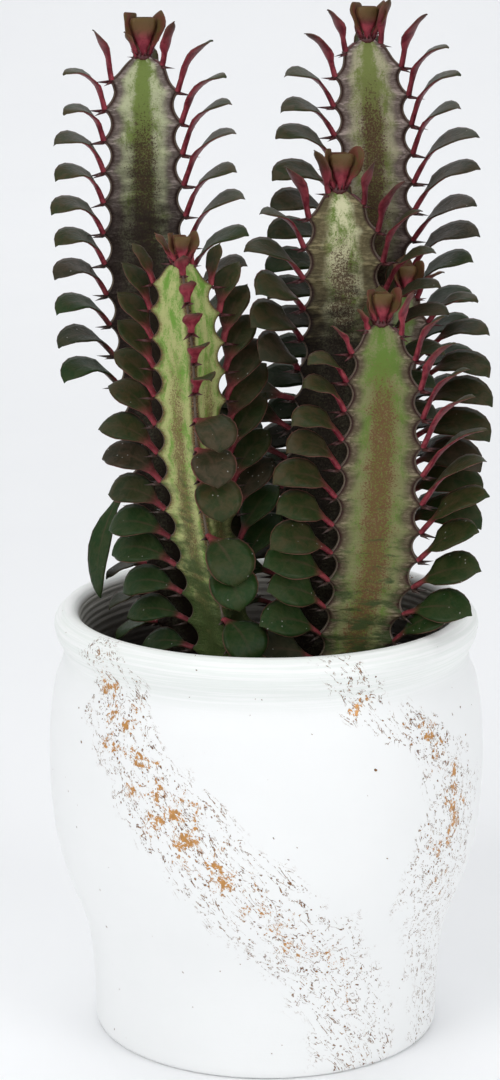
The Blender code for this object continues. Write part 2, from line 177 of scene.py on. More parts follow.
def guide_mesh(name, points, edges, values):
    """Mesh of bare points and edges whose points carry named numbers or vectors."""
    mesh = bpy.data.meshes.new(name)
    mesh.from_pydata([tuple(point) for point in points], edges, [])
    for label, column in values.items():
        column = np.array(column, float)
        if column.ndim == 1:
            mesh.attributes.new(label, "FLOAT", "POINT").data.foreach_set("value", column)
        else:
            layer = mesh.attributes.new(label, "FLOAT_VECTOR", "POINT")
            layer.data.foreach_set("vector", column.ravel())
    return mesh


def grow(guide, tree, settings):
    """Run a tree on a guide and return the result as a plain mesh."""
    holder = bpy.data.objects.new("guide", guide)
    bpy.context.scene.collection.objects.link(holder)
    made = holder.modifiers.new("grow", "NODES")
    made.node_group = tree
    for label, value in settings.items():
        made[tree.interface.items_tree[label].identifier] = value
    graph = bpy.context.evaluated_depsgraph_get()
    evaluated = holder.evaluated_get(graph)
    mesh = bpy.data.meshes.new_from_object(evaluated, preserve_all_data_layers=True, depsgraph=graph)
    bpy.data.objects.remove(holder)
    return mesh


def outward_faces(mesh):
    """Turn the faces of closed shells outwards."""
    bm = bmesh.new()
    bm.from_mesh(mesh)
    bmesh.ops.recalc_face_normals(bm, faces=bm.faces)
    bm.to_mesh(mesh)
    bm.free()


def place_piece(name, meshes, nodes):
    """Join meshes into one piece of the plant that stands for its frame nodes."""
    parts = []
    for mesh in meshes:
        part = bpy.data.objects.new(name, mesh)
        bpy.context.scene.collection.objects.link(part)
        parts.append(part)
    if len(parts) > 1:
        with bpy.context.temp_override(
            active_object=parts[0], object=parts[0], selected_objects=parts, selected_editable_objects=parts
        ):
            bpy.ops.object.join()
    piece = parts[0]
    piece.name = name
    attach(piece, "root")
    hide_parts(*nodes)
    return piece


# %% [markdown]
# ## How a shoot grows
#
# Everything on the plant hangs on six leaning axes. A shoot's axis is a smooth curve through a few
# points from the soil to the growing point. Its ribs run up it at fixed headings, and the crest of
# a rib keeps its distance from the axis until it closes in a dome. Heights of teeth and places of
# leaves follow from these few numbers, so the fine surface here and the coarse frame agree.

# %% Axes, ribs and rows
NOTCH_DEPTH = 3.0
VALLEY_SHARE = 0.45
DOME_LENGTH = 5.5
DOME_START = 1.5
LEAF_SEAT = 2.2
ROW_START = 121.0
CURL = 1.5

# Axis points, crest radius by height, and the distance between teeth.
SHOOTS = {
    "a": dict(
        axis=(
            (-22, 14.5, 118), (-28, 16, 152.7), (-33.2, 18, 200),
            (-40, 20, 250), (-41.3, 20, 284), (-41.6, 20, 334.6),
        ),
        crest=((118, 13.5), (150, 14.5), (200, 16.0), (275, 16.6), (300, 15.6), (335, 15.4)),
        pitch=10.4,
    ),
    "b": dict(
        axis=(
            (-10, -25, 118), (-15, -26, 151), (-19.8, -27.5, 176.5),
            (-23.8, -29, 208), (-25.4, -30, 246), (-28.3, -30, 272),
        ),
        crest=((118, 12.5), (150, 13.0), (200, 13.8), (250, 13.6), (272, 13.4)),
        pitch=9.7,
    ),
    "c": dict(
        axis=((30, 30, 118), (34, 34, 180), (36.6, 37, 250), (36.8, 37, 300), (34.4, 37, 339.2)),
        crest=((118, 13.5), (180, 15.0), (280, 16.0), (305, 15.6), (340, 15.2)),
        pitch=9.9,
    ),
    "d": dict(
        axis=((9, 0, 118), (14, 0, 150), (20, 0, 204), (25.6, 0, 259), (25.1, 0, 274), (24, 0, 292)),
        crest=((118, 13.5), (200, 15.5), (265, 15.8), (292, 14.8)),
        pitch=10.2,
    ),
    "e": dict(
        axis=(
            (26.5, -27, 118), (29.3, -28, 144.7), (34.6, -30, 169),
            (36.2, -31, 193), (37.7, -31, 220), (37, -31, 252.4),
        ),
        crest=((118, 13.6), (145, 14.8), (170, 17.0), (188, 17.2), (215, 15.6), (235, 14.4), (252, 13.2)),
        pitch=9.5,
    ),
    "f": dict(
        axis=((33, 7, 118), (34.5, 8, 150), (37.2, 9, 190), (41, 10, 220), (45, 11, 243), (47, 11, 256)),
        crest=((118, 10.5), (200, 11.0), (256, 12.0)),
        pitch=10.2,
    ),
}

# Shoot, side, heading of the rib from -Y towards +X in degrees, depth of the first tooth under
# the growing point, lowest leaf height, leaf habit, and the teeth that have shed their leaf.
ROWS = (
    ("b", "front", 6, 3.8, 126, "facing", (8, 11)),
    ("b", "left", -114, 0.8, 128, "spread", ()),
    ("e", "left", -60, 2.4, 124, "broad", ()),
    ("e", "right", 60, 4.2, 124, "rising", ()),
    ("a", "left", -60, 0.6, 138, "arched", (12, 13, 15, 16)),
    ("a", "right", 60, 3.5, 150, "long", ()),
    ("f", "right", 68, 2.4, 165, "wide", ()),
    ("b", "right", 126, 1.8, 165, "upright", ()),
    ("d", "left", -60, 1.6, 150, "full", ()),
    ("d", "right", 60, 5.0, 205, "long", ()),
    ("c", "left", -60, 4.7, 150, "swept", ()),
    ("c", "right", 60, 2.0, 170, "long", ()),
    ("f", "rear", 188, 4.5, 165, "long", ()),
    ("a", "rear", 180, 6.0, 190, "long", ()),
    ("c", "rear", 180, 6.5, 180, "long", ()),
    ("d", "rear", 180, 6.0, 170, "full", ()),
    ("e", "rear", 180, 6.0, 150, "full", ()),
    ("f", "left", -52, 6.0, 200, "arched", ()),
)


# %% The growth rules


def axis_at(shoot, height):
    """Point of the shoot's axis at a height, on a smooth curve through its axis points."""
    points = np.array(shoot["axis"], float)
    z = points[:, 2]
    slopes = np.gradient(points, z, axis=0)
    i = int(np.clip(np.searchsorted(z, height) - 1, 0, len(z) - 2))
    span = z[i + 1] - z[i]
    t = (height - z[i]) / span
    first = (1 + 2 * t) * (1 - t) ** 2 * points[i] + t * (1 - t) ** 2 * span * slopes[i]
    second = t * t * (3 - 2 * t) * points[i + 1] + t * t * (t - 1) * span * slopes[i + 1]
    return Vector(first + second)


def up_at(shoot, height):
    low = min(height, shoot["axis"][-1][2] - 2)
    return (axis_at(shoot, low + 1) - axis_at(shoot, low - 1)).normalized()


def crest_radius(shoot, height):
    """Radius to the teeth of the ribs, closing in a dome at the growing point."""
    heights, radii = zip(*shoot["crest"])
    below = shoot["axis"][-1][2] - height
    return float(np.interp(height, heights, radii)) * (1 - math.exp(-(below + DOME_START) / DOME_LENGTH))


def level_way(heading):
    """Level direction at a heading."""
    angle = math.radians(heading)
    return Vector((math.sin(angle), -math.cos(angle), 0))


def outward(heading, up):
    """Direction of a rib square to the axis."""
    flat = level_way(heading)
    return (flat - flat.dot(up) * up).normalized()


def teeth_of(row):
    """Heights of the teeth of one row, from the crown down to the soil."""
    shoot = SHOOTS[row[0]]
    top = shoot["axis"][-1][2]
    height = top - row[3]
    heights = []
    while height > ROW_START + 2:
        heights.append(height)
        height -= shoot["pitch"] * min(1.0, 0.72 + 0.025 * (top - height))
    return heights


def rows_of(name):
    return sorted((row for row in ROWS if row[0] == name), key=lambda row: row[2])


print(sum(len(teeth_of(row)) for row in ROWS), "teeth on", len(ROWS), "ribs")

# %% [markdown]
# ## How a leaf is held
#
# A leaf leaves its tooth steeply, arches over and rolls its upper face towards the light. Each row
# has a habit: a short table of leaves at a few places below the crown, with the leaves between
# them blended. In the crowded middle of the plant a leaf gives way to its neighbours by swinging,
# lifting or staying small. The frame holds the attitude that each leaf ended in, so the same list
# of attitudes is gone through here, and the one whose tip meets the frame's leaf tip is taken.

# %% Leaf habits
# Place below the crown, then length, width, start and end angle above the rib's outward
# direction, and roll of the upper face towards the front.
HABITS = {
    "arched": (
        (0, 9, 4.5, 82, 66, 0), (1, 18, 8.0, 80, 46, 6), (2, 21, 10, 78, -20, 12),
        (5, 24, 11, 74, -45, 22), (11, 24, 12, 55, -50, 28), (14, 44, 10.5, -50, -100, 20),
        (17, 16, 6.5, 8, -40, 10), (18, 17, 8.0, 14, -35, 10),
    ),
    "long": (
        (0, 15, 7.5, 80, 60, 0), (1, 21, 9.0, 76, 26, 6), (2, 25, 10.5, 72, 4, 14),
        (5, 30, 12, 66, -8, 24), (8, 30, 12.5, 58, -16, 28), (15, 27, 13, 45, -30, 32),
    ),
    "swept": (
        (0, 15, 7.0, 82, 50, 0), (1, 20, 8.0, 78, 20, 0), (2, 25, 10, 68, -20, 20),
        (5, 29, 12, 48, -30, 32), (12, 29, 12.5, 35, -40, 35),
    ),
    "broad": (
        (0, 8, 4.5, 78, 50, 0), (1, 12, 6.0, 72, 30, 5), (2, 19, 9.0, 66, -25, 25),
        (5, 24, 12, 52, -35, 38), (9, 26, 14, 36, -30, 48), (15, 24, 13, 18, -30, 42),
    ),
    "full": (
        (0, 15, 8.5, 82, 66, 0), (1, 20, 9.0, 78, 40, 5), (2, 21, 10, 70, 0, 15),
        (4, 30, 14.5, 42, -26, 38), (9, 32, 15, 28, -28, 44), (15, 27, 13.5, 18, -34, 40),
    ),
    "rising": (
        (0, 15, 7.5, 80, 50, 0), (2, 22, 9.0, 72, 16, 4), (5, 29, 10, 64, 8, 10),
        (7, 28, 12, 52, 12, 35), (9, 26, 13.5, 46, 4, 50), (14, 24, 12, 34, -10, 48),
    ),
    "wide": (
        (0, 14, 7.0, 78, 20, 0), (1, 21, 9.5, 66, -20, 20), (3, 28, 12.5, 56, -38, 36),
        (5, 33, 14, 48, -40, 42), (12, 28, 14, 38, -50, 42),
    ),
    "upright": (
        (0, 9, 5.5, 80, 66, 0), (2, 18, 10, 70, 42, 15), (5, 25, 12.5, 64, 30, 30),
        (12, 24, 12, 48, 0, 30),
    ),
    "spread": (
        (0, 11, 5.0, 80, 60, 0), (2, 17, 9.0, 74, 44, 14), (4, 21, 10.5, 66, 26, 24),
        (7, 23, 12, 54, -22, 34), (11, 26, 13.5, 38, -38, 40), (15, 20, 10.0, 22, -44, 34),
    ),
    "facing": (
        (0, 7, 5.5, 80, 60, 0), (2, 9, 7.5, 70, 30, 0), (4, 12, 8.5, 60, -20, 10),
        (5, 20, 14.5, 12, -98, 12), (9, 23, 17, -8, -104, 8), (14, 21, 15, -8, -100, 6),
    ),
}
# Leaves of this habit hang to one side of their rib, by this many degrees.
SWAY = {"facing": 24}
SWINGS = (0, 14, -14, 28, -28)
LIFTS = (0, 14, -14, 26, -26)
SIZES = (1.0, 0.85, 0.7)
ATTITUDES = [(swing, lift, size) for size in SIZES for lift in LIFTS for swing in SWINGS]

# Young leaves of a crown: heading, length, width, start and end angle, roll, and how square the
# tip is. Each crown turns them a little and has its own size.
CROWN_LEAVES = (
    (-72, 14.0, 8.5, 68, 96, -48, 0.9), (6, 12.0, 9.0, 82, 86, 0, 0.9), (76, 15.0, 8.5, 64, 86, 50, 0.2),
    (178, 12.0, 8.0, 84, 90, 0, 0.9),
)
CROWN_TURN = {"a": 0, "b": 14, "c": -6, "d": 10, "e": 6, "f": 8}
CROWN_SIZE = {"a": 1.05, "b": 0.7, "c": 0.9, "d": 1.0, "e": 0.8, "f": 0.75}


# %% The path of a leaf's midrib


def habit_at(row, place):
    table = np.array(HABITS[row[5]], float)
    values = [float(np.interp(place, table[:, 0], table[:, i])) for i in range(1, 6)]
    values[4] *= 1 if math.sin(math.radians(row[2])) >= 0 else -1
    return values


def leaf_path(leaf, share):
    """Point and axes (along, across, upper face) of a leaf's midrib at a share of its length."""
    seat, up, out, length, _, start, end, roll = leaf
    steps = 12
    point = seat.copy()
    for i in range(steps):
        at = share * (i + 0.5) / steps
        angle = math.radians(start + (end - start) * at ** CURL)
        point = point + (out * math.cos(angle) + up * math.sin(angle)) * (length * share / steps)
    angle = math.radians(start + (end - start) * share ** CURL)
    along = out * math.cos(angle) + up * math.sin(angle)
    face = up * math.cos(angle) - out * math.sin(angle)
    turn = Matrix.Rotation(math.radians(roll) * min(1.0, share / 0.4), 3, along)
    return point, along, turn @ up.cross(out), turn @ face


def tip_corners(leaf):
    """Corners of the frame leaf's blunt tip."""
    point, _, across, face = leaf_path(leaf, 0.96)
    side = across * (leaf[4] * 0.29)
    rise = face * 0.45
    return [point - side - rise, point + side - rise, point + side + rise, point - side + rise]


# %% Find each leaf's attitude in the frame


def corners_of(node):
    tree = KDTree(len(node.data.vertices))
    for i, vertex in enumerate(node.data.vertices):
        tree.insert(vertex.co / MM, i)
    tree.balance()
    return tree


def first_that_fits(candidates, tree):
    for leaf in candidates:
        if all(tree.find(corner)[2] < 0.05 for corner in tip_corners(leaf)):
            return leaf
    return None


def row_leaves(row, draw):
    """Leaves of a row, by place, in the attitude that the frame gives them."""
    shoot = SHOOTS[row[0]]
    tree = corners_of(frame["nodes"]["leaves_" + row[0] + "_" + row[1]])
    found = {}
    for place, height in enumerate(teeth_of(row)):
        jitter = [draw.uniform(-1, 1) for _ in range(4)]
        if height < row[4] or place in row[6]:
            continue
        length, width, start, end, roll = habit_at(row, place)
        up = up_at(shoot, height)
        middle = height + LEAF_SEAT / 2
        seat = axis_at(shoot, middle) + level_way(row[2]) * (crest_radius(shoot, middle) - 0.2)
        heading = row[2] + SWAY.get(row[5], 0)
        candidates = (
            (
                seat, up, outward(heading + swing + 5 * jitter[0], up),
                length * size * (1 + 0.06 * jitter[1]), width * size,
                min(start + lift + 4 * jitter[2], 84), end + lift + 7 * jitter[3], roll,
            )
            for swing, lift, size in ATTITUDES
        )
        leaf = first_that_fits(candidates, tree)
        if leaf:
            found[place] = leaf
    return found


def crown_leaves(name):
    """Young leaves of a crown, which stand close round its cushion."""
    up = Vector((0, 0, 1))
    size = CROWN_SIZE[name]
    leaves = []
    for heading, length, width, start, end, roll, square in CROWN_LEAVES:
        out = outward(heading + CROWN_TURN[name], up)
        seat = Vector(SHOOTS[name]["axis"][-1]) + up * 0.6 + out * 1.9
        leaves.append(((seat, up, out, length * size, width * size, start, end, roll), square))
    return leaves


draw = random.Random(7)
LEAVES = {row: row_leaves(row, draw) for row in ROWS}
print(sum(map(len, LEAVES.values())), "leaves along the ribs")


# %% [markdown]
# ## The finishes
#
# Every finish below is procedural. It reads the piece's Object coordinates, turned into
# millimetres so that a scale of 1 means a grain of about a millimetre, or a named attribute that
# the shape carries, such as how far a point lies along its leaf. Nothing is painted by hand, so a
# finish can be reused on a plant of another size.

# %% Helpers for finishes


def new_finish(name):
    """Material, its shader, and a vector of the place on the piece in millimetres."""
    material = bpy.data.materials.new(name)
    material.use_nodes = True
    tree = material.node_tree
    shader = tree.nodes["Principled BSDF"]
    place = add(tree, "ShaderNodeTexCoord").outputs["Object"]
    return material, tree, shader, stretched(tree, place, 1000.0)


def carried(tree, name, output="Fac"):
    """Value that the mesh carries under a name."""
    return add(tree, "ShaderNodeAttribute", attribute_name=name, attribute_type="GEOMETRY").outputs[output]


def noise(tree, place, scale, detail=3.0, roughness=0.5, distortion=0.0):
    made = add(tree, "ShaderNodeTexNoise", {
        "Vector": place, "Scale": scale, "Detail": detail, "Roughness": roughness, "Distortion": distortion,
    })
    return made.outputs["Fac"]


def cells(tree, place, scale, output="Distance"):
    return add(tree, "ShaderNodeTexVoronoi", {"Vector": place, "Scale": scale}).outputs[output]


def mapped(tree, place, scale=(1, 1, 1), turn=0.0):
    """Place scaled along each axis, then turned about Y by some degrees."""
    sockets = {"Vector": place, "Rotation": (0, math.radians(turn), 0), "Scale": scale}
    return add(tree, "ShaderNodeMapping", sockets).outputs[0]


def split(tree, vector):
    return add(tree, "ShaderNodeSeparateXYZ", {0: vector}).outputs


def blend(tree, share, first, second):
    """Mix two colours, each a socket or three numbers."""
    made = add(tree, "ShaderNodeMix", data_type="RGBA", clamp_factor=True)
    for name, value in (("Factor", share), (6, first), (7, second)):
        socket = made.inputs[name]
        if isinstance(value, bpy.types.NodeSocket):
            tree.links.new(value, socket)
        elif isinstance(value, tuple):
            socket.default_value = (*value, 1.0)
        else:
            socket.default_value = value
    return made.outputs[2]


def relief(tree, shader, height, strength=1.0, depth_mm=1.0):
    """Bump from a height in millimetres."""
    made = add(tree, "ShaderNodeBump", {"Height": height, "Strength": strength, "Distance": depth_mm * MM})
    tree.links.new(made.outputs[0], shader.inputs["Normal"])


def wire(tree, shader, **sockets):
    for name, value in sockets.items():
        tree.links.new(value, shader.inputs[name.replace("_", " ")])


# %% [markdown]
# ## The glaze and its gold
#
# The pot is matt white with loose diagonal drifts of gold leaf, dense and torn in the middle of a
# drift and down to single specks at its edge. A painted image would repeat or stretch on a round
# wall. Here a drift is a path of angle against height, and a curve node holds that path. How far a
# point lies from the path sets how likely a flake is there, and cells, torn noise and thin contour
# lines make the flakes themselves. Inside, the clay is bare and grey, with a potter's ridges, and
# painted shade darkens it towards the bottom.

# %% Glaze, gold drifts and bare clay

# Angle from -Y towards +X in degrees and height in millimetres along each drift, top to bottom.
DRIFTS = {
    "left": (
        (-48, 147), (-46, 134), (-40, 122), (-35, 112), (-26, 100), (-17, 86), (-8, 73), (3, 58),
        (16, 40), (25, 25), (28, 12), (30, 3),
    ),
    "right": (
        (18, 147), (23, 138), (31, 129), (42, 121), (50, 112), (57, 96), (56, 82), (53, 69),
        (58, 48), (66, 25), (66, 5),
    ),
    "rear": (
        (128, 147), (137, 134), (143, 112), (152, 92), (160, 70), (168, 45), (172, 20), (173, 3),
    ),
}
POT_TOP = 150.0


def drift_path(tree, height_share, drift):
    """Angle of a drift's middle at a height, in degrees."""
    points = [(height / POT_TOP, (angle + 180) / 360) for angle, height in reversed(DRIFTS[drift])]
    share = curved(tree, height_share, [(0, points[0][1])] + points + [(1, points[-1][1])])
    return scaled(tree, share, 360.0, -180.0)


def drift_mask(tree, angle, height_share, drift, width, wander):
    """How dense the gold lies: 1 in the middle of a drift, 0 away from it."""
    middle = drift_path(tree, height_share, drift)
    away = maths(tree, "ABSOLUTE", minus(tree, angle, middle))
    away = plus(tree, away, wander)
    width = curved(tree, height_share, (
        (0, width / 40), (0.6, width / 40), (0.75, width / 52), (0.9, width / 62), (1, width / 70),
    ))
    near = graded(tree, maths(tree, "DIVIDE", away, times(tree, width, 40.0)), 1.0, 0.0)
    return maths(tree, "POWER", near, 1.5)


def glaze_finish():
    material, tree, shader, place = new_finish("white_glaze")
    x, y, z = split(tree, place)
    angle = times(tree, maths(tree, "ARCTAN2", x, times(tree, y, -1.0)), 57.2958)
    share = maths(tree, "DIVIDE", z, POT_TOP)
    wander = scaled(tree, noise(tree, place, 0.09, 3.0), 26.0, -12.0)
    left = drift_mask(tree, angle, share, "left", 25.0, wander)
    right = drift_mask(tree, angle, share, "right", 22.0, wander)
    right = times(tree, right, graded(tree, z, 20.0, 95.0, 0.5, 1.0))
    rear = drift_mask(tree, angle, share, "rear", 15.0, wander)
    heavy = curved(tree, share, (
        (0, 0.34), (0.2, 0.46), (0.4, 0.72), (0.6, 0.95), (0.72, 1.0), (0.84, 0.95), (0.93, 0.6), (1, 0.12),
    ))
    drift = maths(tree, "MAXIMUM", left, maths(tree, "MAXIMUM", right, times(tree, rear, 0.8)))
    drift = times(tree, drift, heavy)

    # Clumps inside a drift: gold comes in patches, with bare glaze between them.
    clump = graded(tree, noise(tree, place, 0.16, 5.0, 0.7), 0.38, 0.64)
    density = times(tree, drift, scaled(tree, clump, 1.25, -0.04))

    # Torn flakes: fine rough noise above a level that falls where the gold is dense.
    turned = mapped(tree, place, turn=-50)
    lean = mapped(tree, turned, (0.75, 1, 1.15))
    torn = noise(tree, lean, 0.72, 5.0, 0.76, 0.4)
    level = scaled(tree, density, -0.30, 0.725)
    flakes = graded(tree, minus(tree, torn, level), 0.0, 0.015)

    # Single specks: some cells of a fine net hold one small grain each.
    nudge = stretched(tree, (1, 1, 1), scaled(tree, noise(tree, place, 1.3, 2.0), 0.9, 0.0))
    nudged = vector_maths(tree, "ADD", lean, nudge)
    lot = add(tree, "ShaderNodeSeparateColor", {0: cells(tree, nudged, 0.9, "Color")})
    chance = scaled(tree, maths(tree, "POWER", drift, 1.6), 0.50, 0.006)
    grain = maths(tree, "LESS_THAN", cells(tree, nudged, 0.9), scaled(tree, lot.outputs[1], 0.30, 0.10))
    specks = times(tree, maths(tree, "LESS_THAN", lot.outputs[0], chance), grain)

    # Hairs: thin contour lines of a stretched noise, broken up by another.
    line = noise(tree, mapped(tree, turned, (0.09, 0.3, 0.34)), 1.0, 3.0, 0.6, 0.9)
    line = graded(tree, maths(tree, "ABSOLUTE", minus(tree, line, 0.52)), 0.022, 0.009)
    broken = graded(tree, noise(tree, place, 0.55, 3.0, 0.7), 0.46, 0.52)
    hairs = times(tree, times(tree, line, broken), graded(tree, drift, 0.01, 0.12))
    inside = carried(tree, "inside")
    gold = maths(tree, "MAXIMUM", flakes, maths(tree, "MAXIMUM", specks, hairs))
    gold = times(tree, gold, maths(tree, "LESS_THAN", inside, 0.02))

    # Gold is bright where it lies thick and worn to copper brown elsewhere.
    thick = graded(tree, plus(tree, density, times(tree, right, -0.22)), 0.18, 0.75)
    tone = plus(tree, times(tree, thick, 0.75), scaled(tree, noise(tree, place, 0.7, 2.0), 0.9, -0.3))
    metal = blend(tree, tone, (0.115, 0.048, 0.018), (0.60, 0.29, 0.08))

    # Brush lines run round the neck, and the bare clay inside is ridged, with painted shade that darkens it
    # downwards.
    lines = noise(tree, mapped(tree, place, (0.02, 0.02, 1.3)), 1.0, 4.0, 0.65)
    neck = graded(tree, share, 0.86, 0.93)
    cloud = noise(tree, place, 0.05, 3.0)
    white = blend(tree, cloud, (0.92, 0.925, 0.92), (0.89, 0.90, 0.895))
    neck_white = blend(tree, graded(tree, lines, 0.40, 0.62), (0.82, 0.855, 0.82), (0.92, 0.93, 0.915))
    white = blend(tree, times(tree, neck, 0.85), white, neck_white)
    # Painted shade: the inside wall is blended to near black with depth, standing in for the shade deeper
    # in the pot.
    deep = graded(tree, z, 146.0, 116.0)
    clay = blend(tree, graded(tree, lines, 0.35, 0.65), (0.44, 0.43, 0.39), (0.62, 0.61, 0.55))
    clay = blend(tree, deep, clay, (0.05, 0.042, 0.036))
    body = blend(tree, inside, white, clay)
    colour = blend(tree, gold, body, metal)
    rough = scaled(tree, gold, -0.24, scaled(tree, lines, 0.14, 0.50))
    wire(tree, shader, Base_Color=colour, Roughness=rough, Metallic=times(tree, gold, 0.3))
    shader.inputs["Specular IOR Level"].default_value = 0.42
    height = times(tree, lines, scaled(tree, neck, 0.10, 0.03))
    height = plus(tree, height, times(tree, noise(tree, place, 1.6, 3.0), 0.03))
    height = plus(tree, height, times(tree, gold, 0.05))
    relief(tree, shader, height, 0.8)
    return material


glaze = glaze_finish()
print("glaze:", len(glaze.node_tree.nodes), "nodes")

# %% [markdown]
# ## Soil
#
# The potting soil is dark and moist with reddish-brown bark and mineral grains in it. Its finish
# mixes two browns by a fine noise, and the grains, which are real geometry later on, take a tone
# each from a number that they carry.

# %% Soil and grains


def soil_finish(name, dark, light, rough):
    material, tree, shader, place = new_finish(name)
    patch = noise(tree, place, 0.5, 5.0, 0.7)
    tone = times(tree, carried(tree, "tone"), 0.8)
    share = plus(tree, graded(tree, patch, 0.4, 0.7), tone)
    wire(tree, shader, Base_Color=blend(tree, share, dark, light))
    wire(tree, shader, Roughness=scaled(tree, patch, 0.2, rough))
    relief(tree, shader, times(tree, noise(tree, place, 2.2, 4.0, 0.7), 0.5))
    return material


soil_look = soil_finish("moist_soil", (0.010, 0.006, 0.004), (0.040, 0.022, 0.014), 0.75)
grain_look = soil_finish("bark_grains", (0.016, 0.009, 0.006), (0.12, 0.058, 0.034), 0.7)

# %% [markdown]
# ## Stem skin
#
# A shoot's skin changes across the face between two ribs and down from the tip. The middle of the
# face carries a pale marbled band, a file of brown grains runs down it and thickens with age, the
# flanks towards the teeth are grey-brown and wrinkled, and an old shoot darkens to almost black
# near the soil. One recipe takes five colours and two lengths, and each shoot gets its own.

# %% Stem skins


def skin_finish(
    name, pale, green, grain, flank, deep, grain_from, deep_from, deep_to, flank_from=0.34,
    edge_grains=False, pull=0.16, spread=60.0, sheen=0.09,
):
    """Skin of a shoot, from five colours and the depths where grains and age set in.

    The rest says how near the crest the flanks begin, whether grains run down the crest, how far
    the middle leans to green, how ragged the edge of old skin is, and how bright the painted sheen
    on the flanks is.
    """
    material, tree, shader, place = new_finish(name)
    rib = carried(tree, "rib")
    below = carried(tree, "below")
    phase = carried(tree, "phase")
    long_way = mapped(tree, place, (1, 1, 0.6))
    cross_way = mapped(tree, place, (0.5, 0.5, 1.5))
    marble = noise(tree, long_way, 0.20, 4.0, 0.66, 0.3)
    scar = noise(tree, cross_way, 0.22, 4.0, 0.65, 0.4)
    fine = noise(tree, place, 1.5, 3.0, 0.7)
    ripple = noise(tree, cross_way, 0.62, 3.0, 0.6, 0.5)

    # Pale bands with a green middle, in soft mottles.
    young = graded(tree, below, 70.0, 8.0)
    speck = noise(tree, place, 1.6, 3.0, 0.85)
    edge = plus(tree, rib, scaled(tree, marble, 0.44, -0.22))
    centre = times(tree, graded(tree, edge, 0.34, 0.08), pull)
    patch = plus(tree, marble, scaled(tree, young, 0.07, centre))
    patch = plus(tree, patch, scaled(tree, speck, 0.60, -0.30))
    face = blend(tree, graded(tree, patch, 0.46, 0.70), pale, green)

    # Brown grains down the middle of the face, closer together with age.
    middle = graded(tree, edge, 0.62, 0.10)
    aged = graded(tree, below, grain_from * 0.2, grain_from)
    brown = times(tree, middle, aged)
    level = scaled(tree, brown, 0.20, 0.36)
    sand = graded(tree, minus(tree, level, speck), -0.02, 0.05)
    face = blend(tree, times(tree, brown, 0.35), face, grain)
    face = blend(tree, times(tree, sand, 0.9), face, tuple(v * 0.75 for v in grain))

    # Flanks: grey-brown and wrinkled towards the tip, with a painted silvery sheen and painted highlight
    # streaks that fan out at each tooth.
    fan = graded(tree, maths(tree, "ABSOLUTE", minus(tree, phase, 0.5)), 0.20, 0.5)
    painted_highlight_streaks = times(tree, graded(tree, ripple, 0.44, 0.62), scaled(tree, fan, 0.6, 0.3))
    painted_sheen = plus(tree, painted_highlight_streaks, scaled(tree, speck, 0.7, -0.35))
    # Painted highlight: a brightened copy of the flank colour, standing in for light glancing off the
    # flanks.
    grey = blend(tree, painted_sheen, flank, tuple(v * 2.6 + sheen for v in flank))
    face = blend(tree, graded(tree, edge, flank_from, flank_from + 0.34), face, grey)
    face = blend(tree, graded(tree, rib, 0.84, 0.97), face, (0.040, 0.018, 0.014))

    # On a shoot that turns an edge forwards, the grains run down that edge.
    if edge_grains:
        crest = times(tree, graded(tree, rib, 0.55, 0.95), graded(tree, speck, 0.58, 0.42))
        face = blend(tree, crest, face, grain)

    # Age darkens the skin towards the soil.
    old = graded(tree, plus(tree, below, scaled(tree, scar, spread, spread * -0.5)), deep_from, deep_to)
    face = blend(tree, times(tree, old, scaled(tree, fine, 0.4, 0.74)), face, deep)
    wire(tree, shader, Base_Color=face, Roughness=scaled(tree, fine, 0.3, 0.40))
    shader.inputs["Specular IOR Level"].default_value = 0.16
    height = times(tree, ripple, scaled(tree, rib, 0.9, 0.10))
    height = plus(tree, height, times(tree, fine, 0.14))
    relief(tree, shader, height, 0.9)
    return material


SKINS = {
    "a": skin_finish(
        "skin_a", (0.42, 0.44, 0.27), (0.14, 0.19, 0.045), (0.060, 0.026, 0.014), (0.125, 0.098, 0.084),
        (0.012, 0.006, 0.004), 34.0, 16.0, 64.0, 0.44, pull=0.22,
    ),
    "b": skin_finish(
        "skin_b", (0.44, 0.46, 0.19), (0.15, 0.30, 0.045), (0.20, 0.125, 0.050), (0.075, 0.100, 0.030),
        (0.050, 0.078, 0.022), 60.0, 60.0, 120.0, 0.66, True, pull=0.02, spread=150.0, sheen=0.04,
    ),
    "c": skin_finish(
        "skin_c", (0.36, 0.34, 0.22), (0.15, 0.18, 0.050), (0.085, 0.034, 0.022), (0.130, 0.098, 0.084),
        (0.018, 0.008, 0.006), 30.0, 30.0, 95.0, 0.44, pull=0.20,
    ),
    "d": skin_finish(
        "skin_d", (0.56, 0.55, 0.34), (0.13, 0.19, 0.040), (0.085, 0.040, 0.020), (0.100, 0.082, 0.040),
        (0.010, 0.006, 0.004), 30.0, 16.0, 54.0, 0.28, pull=-0.12, sheen=0.02,
    ),
    "e": skin_finish(
        "skin_e", (0.19, 0.20, 0.085), (0.105, 0.175, 0.030), (0.165, 0.080, 0.036), (0.090, 0.070, 0.040),
        (0.045, 0.066, 0.022), 30.0, 80.0, 130.0, 0.50, pull=0.14, spread=260.0, sheen=0.05,
    ),
    "f": skin_finish(
        "skin_f", (0.24, 0.27, 0.14), (0.12, 0.18, 0.045), (0.090, 0.045, 0.028), (0.100, 0.075, 0.055),
        (0.016, 0.009, 0.007), 40.0, 50.0, 110.0,
    ),
}
print(len(SKINS), "stem skins")
